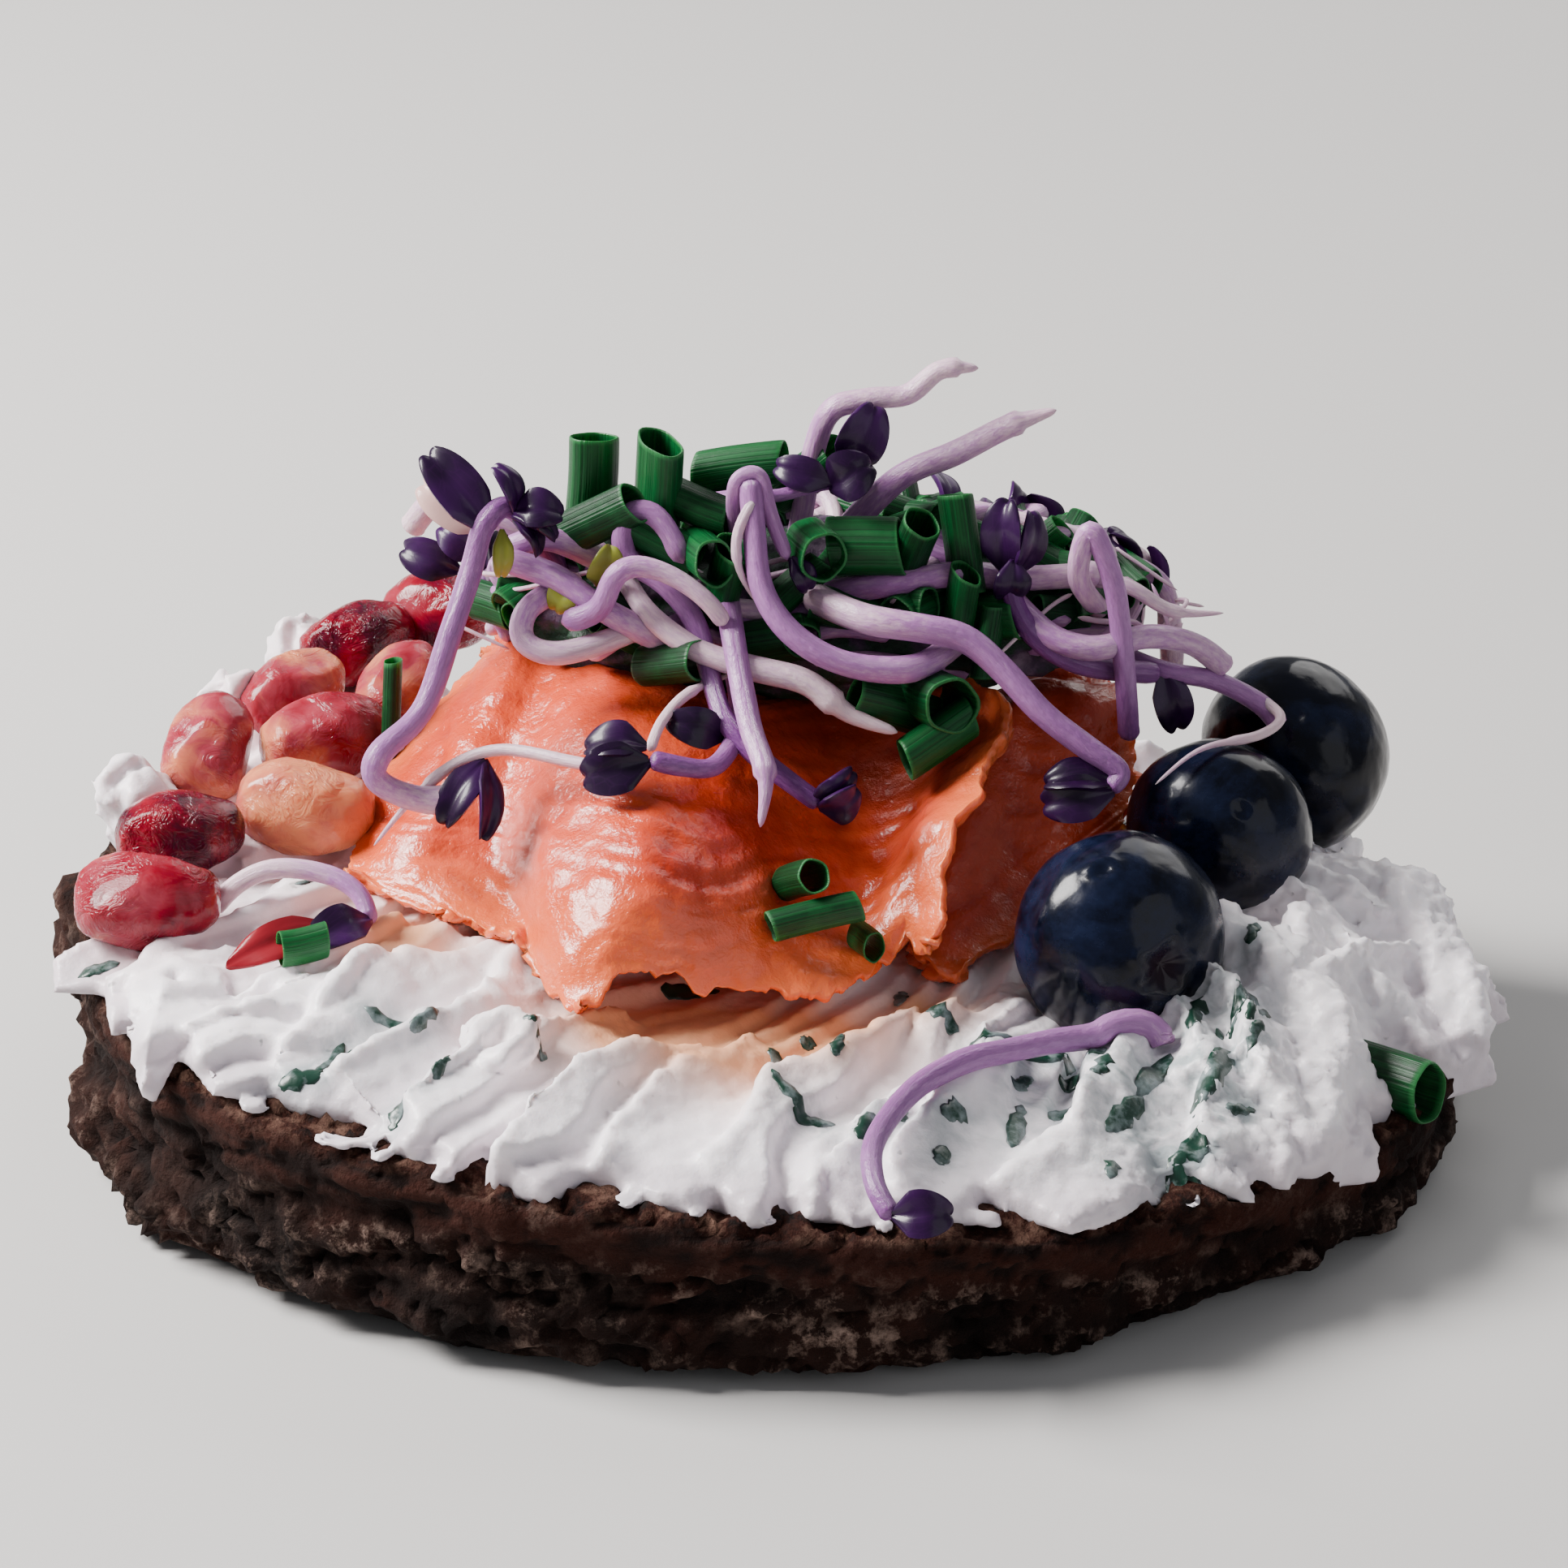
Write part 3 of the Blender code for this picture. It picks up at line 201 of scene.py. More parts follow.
def ring_faces(rows, count):
    """Faces of a closed tube, for points in rows of so many round it."""
    faces = []
    for row in range(rows - 1):
        for i in range(count):
            j = (i + 1) % count
            low, high = row * count, (row + 1) * count
            faces.append((low + i, low + j, high + j, high + i))
    faces.append(tuple(range(count))[::-1])
    faces.append(tuple(range((rows - 1) * count, rows * count)))
    return faces


def sheet_faces(down, across):
    """Faces of a closed sheet: its upper points line by line, then as many lower ones."""
    width = across + 1
    total = (down + 1) * width
    faces = []
    for i in range(down):
        for j in range(across):
            a, b = i * width + j, (i + 1) * width + j
            faces.append((a, b, b + 1, a + 1))
            faces.append((total + a, total + a + 1, total + b + 1, total + b))
    rim = [i * width for i in range(down + 1)] + [down * width + j for j in range(1, width)]
    rim += [i * width + across for i in range(down - 1, -1, -1)] + list(range(across - 1, 0, -1))
    for a, b in zip(rim, rim[1:] + rim[:1]):
        faces.append((a, total + a, total + b, b))
    return faces


def drift(x, y, z):
    """Soft noise, about -1 to 1, at a place in any unit."""
    return noise.noise(Vector((x, y, z)))


def lumpy(place, octaves=3):
    """Fractal noise, about -1 to 1, at a place in any unit."""
    return noise.fractal(place, 1.0, 2.0, octaves)


def field(points, scale, octaves, offset, stretch=(1, 1, 1)):
    """Fractal noise at points in metres; scale is lumps per millimetre."""
    spread = points / MM * scale * np.array(stretch) + offset
    return np.array([lumpy(place, octaves) for place in spread])


def flat_noise(flat, across, along, layer):
    """Noise at places in a plane, with so many lumps per millimetre each way."""
    return np.array([drift(a * across, b * along, layer) for a, b in flat])


def in_slice(points):
    """Points in metres as places in millimetres from the middle of the slice."""
    return (points - np.array(WHOLE_SHIFT)) / MM


def ramp(values, low, high):
    """0 below low, 1 above high, smooth in between."""
    rise = np.clip((np.asarray(values) - low) / (high - low), 0, 1)
    return rise * rise * (3 - 2 * rise)


def ground_of(*names):
    """A search tree over finished pieces, for laying things on them."""
    points, faces = [], []
    for name in names:
        mesh = bpy.data.objects[name].data
        first = len(points)
        points.extend(vertex.co.copy() for vertex in mesh.vertices)
        faces.extend([first + i for i in face.vertices] for face in mesh.polygons)
    return BVHTree.FromPolygons(points, faces)


def finish_piece(piece, material, slot, *nodes, crease=None):
    """Smooths a piece, gives it its finish and sets it in the frame."""
    piece.data.materials.clear()
    piece.data.materials.append(material)
    only(piece)
    if crease is None:
        bpy.ops.object.shade_smooth()
    else:
        bpy.ops.object.shade_smooth_by_angle(angle=math.radians(crease))
    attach(piece, "root")
    if nodes:
        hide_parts(*nodes)


class Finish:
    """A material under construction. Each helper adds a node and returns its output."""

    SOCKETS = {
        "colour": "Base Color", "roughness": "Roughness", "ior": "IOR", "coat": "Coat Weight",
        "coat_roughness": "Coat Roughness", "glow": "Subsurface Weight",
        "glow_radius": "Subsurface Radius", "glow_scale": "Subsurface Scale",
        "specular": "Specular IOR Level", "normal": "Normal",
    }

    def __init__(self, name, **sockets):
        self.material = bpy.data.materials.new(name)
        self.material.use_nodes = True
        self.tree = self.material.node_tree
        self.surface = self.tree.nodes["Principled BSDF"]
        self.space = self.tree.nodes.new("ShaderNodeTexCoord").outputs["Object"]
        self.set(**sockets)

    def set(self, **sockets):
        for name, value in sockets.items():
            self.plug(self.surface.inputs[self.SOCKETS[name]], value)

    def plug(self, socket, value):
        if isinstance(value, bpy.types.NodeSocket):
            self.tree.links.new(value, socket)
        elif socket.type == "RGBA" and len(value) == 3:
            socket.default_value = (*value, 1)
        else:
            socket.default_value = value

    def around(self):
        """The piece's own UV map: across or around, and along."""
        return self.tree.nodes.new("ShaderNodeUVMap").outputs["UV"]

    def painted(self, name):
        node = self.tree.nodes.new("ShaderNodeAttribute")
        node.attribute_name = name
        return node.outputs["Fac"]

    def noise(self, scale, detail, roughness=0.5, vector=None, distortion=0.0):
        """Noise with about so many lumps per metre, or per unit of a given vector."""
        node = self.tree.nodes.new("ShaderNodeTexNoise")
        self.plug(node.inputs["Vector"], vector or self.space)
        node.inputs["Scale"].default_value = scale
        node.inputs["Detail"].default_value = detail
        node.inputs["Roughness"].default_value = roughness
        node.inputs["Distortion"].default_value = distortion
        return node.outputs["Fac"]

    def cells(self, scale, vector=None, kind="F1"):
        node = self.tree.nodes.new("ShaderNodeTexVoronoi")
        node.feature = kind
        self.plug(node.inputs["Vector"], vector or self.space)
        node.inputs["Scale"].default_value = scale
        return node.outputs["Distance"]

    def maths(self, operation, a, b):
        node = self.tree.nodes.new("ShaderNodeMath")
        node.operation = operation
        self.plug(node.inputs[0], a)
        self.plug(node.inputs[1], b)
        return node.outputs["Value"]

    def times(self, a, b):
        return self.maths("MULTIPLY", a, b)

    def plus(self, a, b):
        return self.maths("ADD", a, b)

    def between(self, value, low, high, start=0.0, end=1.0):
        """A value carried from one range to another, held at the ends."""
        node = self.tree.nodes.new("ShaderNodeMapRange")
        self.plug(node.inputs["Value"], value)
        ends = {"From Min": low, "From Max": high, "To Min": start, "To Max": end}
        for name, number in ends.items():
            node.inputs[name].default_value = number
        return node.outputs["Result"]

    def colours(self, value, *stops):
        """A colour ramp; each stop is a place and a colour."""
        node = self.tree.nodes.new("ShaderNodeValToRGB")
        self.plug(node.inputs["Fac"], value)
        steps = node.color_ramp.elements
        while len(steps) < len(stops):
            steps.new(0.5)
        for step, (place, tint) in zip(steps, stops):
            step.position = place
            step.color = (*tint, 1)
        return node.outputs["Color"]

    def mix(self, amount, first, second):
        node = self.tree.nodes.new("ShaderNodeMix")
        node.data_type = "RGBA"
        self.plug(node.inputs["Factor"], amount)
        self.plug(node.inputs["A"], first)
        self.plug(node.inputs["B"], second)
        return node.outputs["Result"]

    def bump(self, height, depth, strength, under=None):
        """Relief of a depth in millimetres, on top of an earlier bump where one is given."""
        node = self.tree.nodes.new("ShaderNodeBump")
        self.plug(node.inputs["Height"], height)
        node.inputs["Distance"].default_value = depth * MM
        node.inputs["Strength"].default_value = strength
        if under:
            self.plug(node.inputs["Normal"], under)
        return node.outputs["Normal"]


def length(name, description, default):
    return bpy.props.FloatProperty(
        name=name, description=description, default=default, min=0, unit="LENGTH", precision=5
    )


def power(name, description, default):
    return bpy.props.FloatProperty(
        name=name, description=description, default=default, min=0, unit="POWER"
    )


def share(name, description, default):
    return bpy.props.FloatProperty(
        name=name, description=description, default=default, min=0, max=1, subtype="FACTOR"
    )


def colour(name, description, default):
    return bpy.props.FloatVectorProperty(
        name=name, description=description, default=default, size=3, min=0, max=1, subtype="COLOR"
    )


class BreadSettings(bpy.types.PropertyGroup):
    grid: length("Mesh size", "Size of the crust's mesh", 0.62 * MM)
    crags: length("Crags", "Height of the crust's lumps and cracks", 1.25 * MM)
    pores: length("Pores", "Depth of the crumb's holes at the rim", 0.9 * MM)
    # The cracks' deep brown is painted shade; it is also the darkest tone of the random patches and
    # open crumb.
    dark: colour("Dark crust", "Deep brown of the cracks", (0.0045, 0.0022, 0.0018))
    brown: colour("Brown crust", "Middle brown of the crust", (0.0130, 0.0046, 0.0030))
    band: colour(
        "Upper band", "Reddish brown of the smooth band under the rim", (0.027, 0.0068, 0.0038)
    )
    flour: colour("Flour", "Pale dust on the lumps", (0.27, 0.185, 0.150))
    crumb: colour("Crumb", "Brown of the cut bread", (0.115, 0.062, 0.044))


class CreamSettings(bpy.types.PropertyGroup):
    grid: length("Mesh size", "Size of the cream's mesh", 0.44 * MM)
    faces: bpy.props.IntProperty(
        name="Faces", description="Most triangles of the cream", default=170000, min=1000
    )
    ripple: length("Ripple", "Height of the fine lines that the knife left", 0.10 * MM)
    curd: length("Curd", "Height of the lumps in the thick cream", 0.42 * MM)
    ridges: length("Ridges", "Height of the wandering ridges over the strokes", 0.50 * MM)
    sweeps: length("Sweeps", "Height of the long side by side lines of the knife", 1.0 * MM)
    heaps: length("Heaps", "Height of the folds in the thick cream", 0.8 * MM)
    white: colour("Cream", "The cream's own white", (0.92, 0.865, 0.900))
    # Painted shade: the hollows' colour; it also darkens random mottled patches.
    shade: colour("Hollows", "Cream in its hollows", (0.58, 0.50, 0.55))
    warm: colour("Warm tint", "Cream that takes up colour from the salmon", (0.76, 0.30, 0.090))
    pink: colour("Pink tint", "Cream that takes up juice from the seeds", (0.76, 0.34, 0.36))
    herb: colour("Herbs", "Green bits in the cream", (0.004, 0.030, 0.018))
    stain: colour("Herb stain", "Cream round the herbs", (0.26, 0.32, 0.33))


class SalmonSettings(bpy.types.PropertyGroup):
    thickness: length("Thickness", "Thickness of a slice", 1.6 * MM)
    wrinkle: length("Wrinkles", "Height of the soft wrinkles", 0.22 * MM)
    layers: length("Layers", "How far the folded layers stand out at the back", 1.7 * MM)
    tear: length("Torn edge", "How far the edges are torn in and out", 1.3 * MM)
    flesh: colour("Flesh", "Orange of the slice", (0.61, 0.068, 0.019))
    # Partly painted shade in the hollow folds; also the deepest tone of the random cloud.
    deep_and_fold_shade: colour("Deep folds", "Red orange in the folds", (0.38, 0.020, 0.005))
    # The pink of the tops is a painted highlight on the raised folds; the same colour also marks
    # fat lines and random pale patches.
    pale: colour("Pale flesh", "Pink of the tops", (0.57, 0.092, 0.062))
    # The thin edges' yellow orange is partly their own colour and partly painted light shining
    # through them.
    thin: colour("Thin flesh", "Yellow orange of the thin edges", (0.76, 0.155, 0.044))


class SeedSettings(bpy.types.PropertyGroup):
    size: length("Length", "Common length of a seed", 10.2 * MM)
    pale: colour("Pale flesh", "Pale end of a seed", (0.58, 0.200, 0.095))
    pink: colour("Pink flesh", "Middle of a seed", (0.29, 0.038, 0.058))
    red: colour("Red flesh", "Red end of a seed", (0.20, 0.001, 0.012))
    dark: colour("Dark flesh", "Darkest red", (0.050, 0.001, 0.010))


class BerrySettings(bpy.types.PropertyGroup):
    radius: length("Radius", "Common radius of a berry", 7.6 * MM)
    skin: colour("Skin", "Blue black skin", (0.0012, 0.0017, 0.0050))
    bloom: colour("Bloom", "Grey blue dust on the skin", (0.0085, 0.0150, 0.0470))
    scar: colour("Crown", "Purple brown of the crown", (0.016, 0.006, 0.012))


class SproutSettings(bpy.types.PropertyGroup):
    step: length("Step", "Length of a stem's mesh cells", 0.5 * MM)
    white: colour("White", "Root end of a stem", (0.70, 0.52, 0.57))
    lavender: colour("Lavender", "Middle of a stem", (0.37, 0.158, 0.39))
    purple: colour("Purple", "Leaf end of a stem", (0.105, 0.014, 0.140))
    leaf: colour("Leaf", "Dark upper side of a seed leaf", (0.0090, 0.0010, 0.0160))
    # A painted sheen, mixed into the leaves in random patches.
    sheen: colour("Leaf sheen", "Paler purple of a seed leaf", (0.050, 0.007, 0.082))
    pale_leaf: colour("Pale leaf", "The few yellow green leaves", (0.24, 0.26, 0.035))
    blush: colour("Blush leaf", "A pale leaf seen from behind", (0.58, 0.36, 0.33))
    shard: colour("Red shard", "The red shard on the cream", (0.22, 0.010, 0.018))


class ChiveSettings(bpy.types.PropertyGroup):
    wall: share("Wall", "Thickness of the tube's wall beside its radius", 0.13)
    green: colour("Green", "Deep green of the tube", (0.0005, 0.024, 0.0060))
    light: colour("Light green", "Lighter lines along the tube", (0.0025, 0.080, 0.018))
    cut: colour("Cut end", "Pale green of the cut rim", (0.018, 0.130, 0.036))


class StageSettings(bpy.types.PropertyGroup):
    distance: length("Camera distance", "From the camera to the sandwich", 420 * MM)
    lens: bpy.props.FloatProperty(
        name="Lens", description="Focal length", default=130.5, min=10, unit="CAMERA"
    )
    elevation: bpy.props.FloatProperty(
        name="Elevation", description="How far the camera looks down",
        default=math.radians(25), subtype="ANGLE",
    )
    key: power("Key light", "Power of the lamp at the left", 13.5)
    fill: power("Fill light", "Power of the large lamp at the right front", 1.1)
    rim: power("Rim light", "Power of the lamp behind", 2.4)
    floor: colour("Floor", "Colour of the plain floor", (0.50, 0.49, 0.48))


GROUPS = {
    "bread": BreadSettings, "cream": CreamSettings, "salmon": SalmonSettings,
    "seeds": SeedSettings, "berries": BerrySettings, "sprouts": SproutSettings,
    "chives": ChiveSettings, "stage": StageSettings,
}


# Bread

# Swellings of the crust: place, reach and how far they stand out.
CRUST_BULGES = [
    (-50.5, -12, 4.5, 5.0, 2.0), (-50.6, 0, 16.6, 5.2, 1.9), (-45, -24, 3.0, 4.0, 1.2),
    (-22, -40, 3.5, 5.0, 1.0), (20, -41, 3.0, 5.0, 0.9), (46, -21, 4.0, 4.5, 1.0),
    (-8, 45, 5.0, 6.0, 1.0), (44, 27, 4.0, 5.0, 1.0),
]


def rim_radius(angle):
    """The slice's outline in millimetres: an oval a little squarer than an ellipse."""
    depth = BREAD_BACK_DEPTH if math.sin(angle) > 0 else BREAD_FRONT_DEPTH
    across = abs(math.cos(angle) / BREAD_HALF_LENGTH) ** BREAD_SQUARENESS
    along = abs(math.sin(angle) / depth) ** BREAD_SQUARENESS
    swell = 1 + 0.010 * math.sin(3 * angle + 0.8) + 0.007 * math.sin(5 * angle + 2.1)
    return (across + along) ** (-1 / BREAD_SQUARENESS) * swell


def bread_top(x):
    return BREAD_MID_HEIGHT + BREAD_TOP_SLOPE * x


def rye_finish(look):
    """Rough dark crust with painted shade in its cracks, flour on its lumps, and grey brown crumb
    on the cut.
    """
    made = Finish("rye_crust", roughness=0.84, specular=0.12)
    lift, band, crumb = made.painted("lift"), made.painted("band"), made.painted("crumb")
    patches = made.noise(95, 5, 0.6)
    grain = made.noise(900, 6, 0.7)
    dust = made.noise(520, 6, 0.74)
    base = made.colours(patches, (0.32, look.dark), (0.52, look.brown), (0.72, look.band))
    base = made.mix(band, base, look.band)
    # Painted shade: darker brown where the crust lies low, in its cracks.
    crack_shade = made.between(made.plus(lift, made.times(grain, 0.5)), -0.25, 0.45, 1, 0)
    base = made.mix(made.times(crack_shade, 0.85), base, look.dark)
    floury = made.times(made.between(dust, 0.50, 0.66), made.between(lift, -0.20, 0.70))
    floury = made.times(floury, made.between(band, 0.0, 1.0, 1.0, 0.20))
    where = made.between(made.noise(60, 3), 0.36, 0.54, 0.22, 1.0)
    base = made.mix(made.times(floury, where), base, look.flour)
    open_crumb = made.colours(
        made.noise(420, 6, 0.7), (0.38, look.dark), (0.50, look.band), (0.66, look.crumb)
    )
    base = made.mix(crumb, base, open_crumb)
    relief = made.bump(made.noise(420, 6, 0.7), 0.8, 0.8)
    relief = made.bump(grain, 0.45, 0.9, relief)
    relief = made.bump(made.cells(1300), 0.18, 0.5, relief)
    made.set(colour=base, normal=relief)
    return made.material


class SANDWICH_OT_bread(bpy.types.Operator):
    """The slice of dark bread, from its solid: craggy crust round the side, porous crumb on top"""

    bl_idname = "sandwich.bread"
    bl_label = "Bread"

    def execute(self, context):
        look = context.scene.sandwich_bread
        piece = add_piece("bread_slice", clean(frame["nodes"]["bread"].data.copy(), outwards=False))
        shape_with(piece, "REMESH", mode="VOXEL", voxel_size=look.grid)
        shape_with(piece, "SMOOTH", factor=0.6, iterations=10)
        mesh = piece.data
        points, normals = points_of(mesh), normals_of(mesh)
        local = in_slice(points)
        below_rim = bread_top(local[:, 0]) - local[:, 2]
        flat_top = ramp(normals[:, 2], 0.55, 0.85) * ramp(below_rim, 2.0, 1.0)
        underside = ramp(-normals[:, 2], 0.6, 0.9)
        band = ramp(below_rim, 5.2, 2.6) * (1 - flat_top) * ramp(local[:, 0], -51, -45)
        lumps = field(points, 0.09, 3, 4.2, (1, 1, 1.3))
        crags = field(points, 0.38, 6, 9.1, (0.8, 0.8, 1.5))
        cracks = np.abs(field(points, 0.20, 3, 17.3, (0.7, 0.7, 1.6)))
        layers = field(points, 0.10, 2, 30.7, (0.5, 0.5, 3.4))
        grit = field(points, 1.0, 3, 40.3)
        lift = 0.85 * lumps + 0.72 * crags + 0.35 * layers + 0.20 * grit + 0.1
        lift -= 0.8 * ramp(cracks, 0.13, 0.0)
        reach = look.crags * (1 - 0.66 * band) * (1 - flat_top) * (1 - 0.75 * underside)
        pores = ramp(field(points, 0.55, 4, 2.5), -0.05, 0.25) - 0.4
        swell = sum(
            out * np.exp(-((local - np.array(spot)) ** 2).sum(1) / width**2)
            for *spot, width, out in CRUST_BULGES
        )
        points += normals * (lift * reach - pores * look.pores * flat_top + swell * MM)[:, None]
        points[:, 2] = np.maximum(points[:, 2], 0)
        set_points(mesh, points)
        paint(mesh, "lift", lift)
        paint(mesh, "band", band)
        paint(mesh, "crumb", flat_top)
        finish_piece(piece, rye_finish(look), "crust", "bread")
        return {"FINISHED"}


# Cream

# Across a stroke of the knife: place across it and height, as shares of its width and height.
STROKE_SECTION = [
    (0.52, -0.7), (0.48, 0.20), (0.42, 0.78), (0.35, 1.0), (0.27, 0.93), (0.12, 0.66),
    (-0.04, 0.44), (-0.20, 0.27), (-0.36, 0.12), (-0.50, -0.06), (-0.54, -0.7),
]
STROKE_STATIONS = 30
STROKE_ROOT = 0.5
SWEEP_WIDTH = 2.9
# The even layer, from the middle of its top round to the middle of its underside: reach and rise.
SLAB_SECTION = [
    (0.01, 1), (0.4, 1), (0.75, 1), (0.93, 0.95), (1, 0.6), (0.99, 0), (0.5, 0), (0.01, 0),
]
SLAB_SIDES = 144
WING_SIDES = 16

# Strokes inside the rim: x, y, heading, length, width, height, bend, drop.
INNER_STROKES = [
    (-47, -20, 18, 24, 8, 2.6, 16, 1.0), (-40, -28, 30, 22, 8, 3.2, 10, 0.6),
    (-33, -17, 22, 17, 7, 3.0, -10, 0.4), (-30, -22, 26, 19, 7, 2.8, 12, 0.2),
    (8, -25, 34, 18, 8, 3.0, 30, 0.4), (13, -33, 48, 16, 8, 3.6, 20, 0.6),
    (24, -34, 74, 15, 8, 3.8, -12, 0.8), (33, -31, 84, 18, 9, 4.6, 12, 1.0),
    (40, -27, 112, 20, 10, 6.8, 14, 2.6), (45, -20, 108, 20, 9, 5.0, -18, 2.0),
    (51, -12, 128, 22, 9, 5.2, 14, 3.0), (53, -4, 140, 20, 9, 5.0, 20, 2.0),
    (51, 8, 160, 18, 9, 5.0, -20, 1.5), (46, 18, 190, 18, 9, 4.4, 20, 1.0),
    (-48, 12, -20, 16, 8, 3.2, 10, 0.4), (-41, 29, -40, 17, 8, 3.4, 12, 0.3),
    (-51.5, -15.0, 14, 16, 5.4, 2.1, 18, 1.7),
]

# Chopped chive sunk in the cream: x, y, heading, length and width.
HERBS = [
    (20, -22, 12, 4.4, 1.5), (18.2, -25.8, 60, 2.2, 0.9), (34.2, -18.5, 66, 5.5, 1.2),
    (31.6, -25.5, 64, 7.0, 1.5), (29.4, -32.2, 62, 5.0, 2.0), (9.8, -12.6, 80, 2.6, 0.8),
    (12.6, -18.8, 150, 2.8, 1.2), (-28.1, -26.7, 5, 2.6, 1.0), (-26.6, -23.6, -8, 3.6, 0.7),
    (-32.4, -30.2, 12, 3.2, 1.1), (-25.4, -34.1, 70, 2.4, 0.9), (-16.1, -27.8, 160, 1.8, 0.7),
    (20.9, -28.2, 35, 2.6, 1.0), (1.8, -31.6, 140, 3.6, 0.9), (3.4, -32.4, 10, 3.0, 0.8),
    (-48.1, -14.8, 20, 3.2, 1.0), (-38.7, -33.8, 20, 2.6, 1.3), (-11.4, -42.6, 20, 3.2, 1.0),
    (23.6, -26.3, 60, 2.2, 1.1), (13.1, -32.2, 40, 2.2, 1.2), (12.2, -36.0, 70, 1.9, 1.0),
    (35.4, -10.6, 75, 2.6, 0.8), (0.7, -23.9, 100, 1.6, 0.9), (3.0, -20.6, 60, 1.4, 0.9),
    (-5.5, -13.2, 15, 4.4, 1.3), (-22.5, -31.5, 65, 2.2, 0.7), (24, -35, 80, 2.0, 0.8),
    (27.5, -24.5, 66, 6.5, 1.3), (25.2, -29.5, 55, 5.0, 1.1), (22.5, -23.5, 30, 4.0, 1.4),
    (16.0, -21.0, 20, 3.6, 1.0), (30.8, -19.0, 75, 4.5, 0.9), (7.0, -34.5, 65, 2.8, 1.1),
    (-30.5, -28.0, 65, 4.2, 0.7), (-24.0, -26.0, 50, 3.0, 0.6),
]
HERBS_AT_RANDOM = 20
HERB_ROOT = 0.35
HERB_CELLS = (9, 5)

# Where the cream is tinted: x, y and reach.
SALMON_TINTS = [
    (-9.0, -21.5, 7.0), (-2.5, -22.0, 6.6), (4.5, -20.5, 5.2), (-27.0, -11.0, 5.0), (12, -15, 3.5),
]
SEED_TINT_REACH = 5.2

RIM_CRUMBS = 26
# The pointed tongue that hangs over the rim: its middle line, and half its width along it.
TONGUE = [(-41.8, -16, 19.0), (-42.0, -20.5, 19.3), (-42.8, -24.8, 18.0), (-43.4, -28.2, 14.4)]
TONGUE_WIDTHS = [(0, 3.2), (0.2, 3.8), (0.45, 3.6), (0.65, 2.7), (0.82, 1.7), (0.93, 0.9), (1, 0.3)]
# A small round hole in the cream.
PIT_AT = (-42.0, -19.8)
PIT_REACH = 0.8
PIT_DEPTH = 1.3
# Thick lumpy folds beside the berries: the way of their crests and their radius.
WINGS = [
    ([(32.6, -7, 19.4), (36.3, -11, 19.0), (39, -15.5, 17.2), (40.2, -20, 14.8),
      (38.8, -25.0, 13.0), (36.6, -28.0, 11.8)], 3.1),
    ([(36, 3, 17.6), (42.4, 5, 18.0), (47.4, 2.5, 17.4), (50.6, -4.5, 14.4),
      (51.6, -11, 10.8)], 2.6),
]
# Lumps that stand up behind the seeds on the left: x, y, height and radius.
REAR_LUMPS = [
    (-47.8, 6.2, 22.2, 2.7), (-46.6, 6.8, 19.6, 3.4), (-41.4, 22.0, 22.8, 2.6),
    (-41.0, 21.4, 20.0, 3.4), (-37.2, 33.0, 22.2, 2.6), (-36.6, 32.4, 19.6, 3.4),
]
# Where the crust is left bare at the left end, as an angle round the slice.
LEFT_BARE = math.pi + 0.03
CURL_AT = (-18.6, -28.3, 19.4)
CURL_RADII = (2.1, 0.95)


def cream_level(x, y):
    """Height of the evenly spread cream, with the thicker mound under the berries."""
    across = (x - CREAM_MOUND_AT[0]) / CREAM_MOUND_SIZE[0]
    along = (y - CREAM_MOUND_AT[1]) / CREAM_MOUND_SIZE[1]
    mound = math.exp(-(across**2 + along**2) * 1.6) * CREAM_MOUND_SIZE[2]
    return bread_top(x) + CREAM_DEPTH + mound


def skin(rings, merge=True):
    """A closed skin through rings of equal count."""
    points = [point for ring in rings for point in ring]
    return clean(mesh_of(points, ring_faces(len(rings), len(rings[0]))), merge)


def along_curve(points, done):
    """A point on the smooth curve through the points, with done from 0 to 1."""
    spans = len(points) - 1
    span = min(int(done * spans), spans - 1)
    t = done * spans - span
    before, after = points[max(span - 1, 0)], points[min(span + 2, spans)]
    start, end = points[span], points[span + 1]
    return 0.5 * (
        2 * start
        + (end - before) * t
        + (2 * before - 5 * start + 4 * end - after) * t**2
        + (3 * start - before - 3 * end + after) * t**3
    )


def knife_stroke(start, heading, reach, width, height, bend, drop, seed):
    """One swipe of cream: a wavering ridge, steep on its left, with knife lines on its slope."""
    rings = []
    for station in range(STROKE_STATIONS):
        done = station / (STROKE_STATIONS - 1)
        turn = math.radians(heading + bend * (done - 0.5))
        along = Vector((math.cos(turn), math.sin(turn), 0))
        side = Vector((-along.y, along.x, 0))
        waver = drift(seed * 3.7, done * reach * 0.11, 0)
        swell = drift(seed * 5.1, done * reach * 0.15, 4)
        ragged = lumpy(Vector((seed * 7.3, done * reach * 0.60, 9)), 3)
        spine = Vector((*start, 0)) + along * reach * done + side * waver * 2.0
        breadth = width * (0.45 + 0.55 * math.sin(math.pi * min(1, 0.18 + 0.75 * done)))
        breadth *= 1 + 0.35 * swell
        crest = height * (0.30 + 0.70 * math.sin(math.pi * (0.12 + 0.80 * done)))
        crest *= 1 + 0.35 * swell + 0.13 * ragged
        base = cream_level(spine.x, spine.y) - STROKE_ROOT - drop * (1 - done) ** 2
        ring = []
        for across, up in STROKE_SECTION:
            edge = 1 + 0.22 * ragged * (across > 0.2)
            ring.append(at(*(spine + side * across * edge * breadth + UP * (base + up * crest))))
        rings.append(ring)
    return skin(rings)


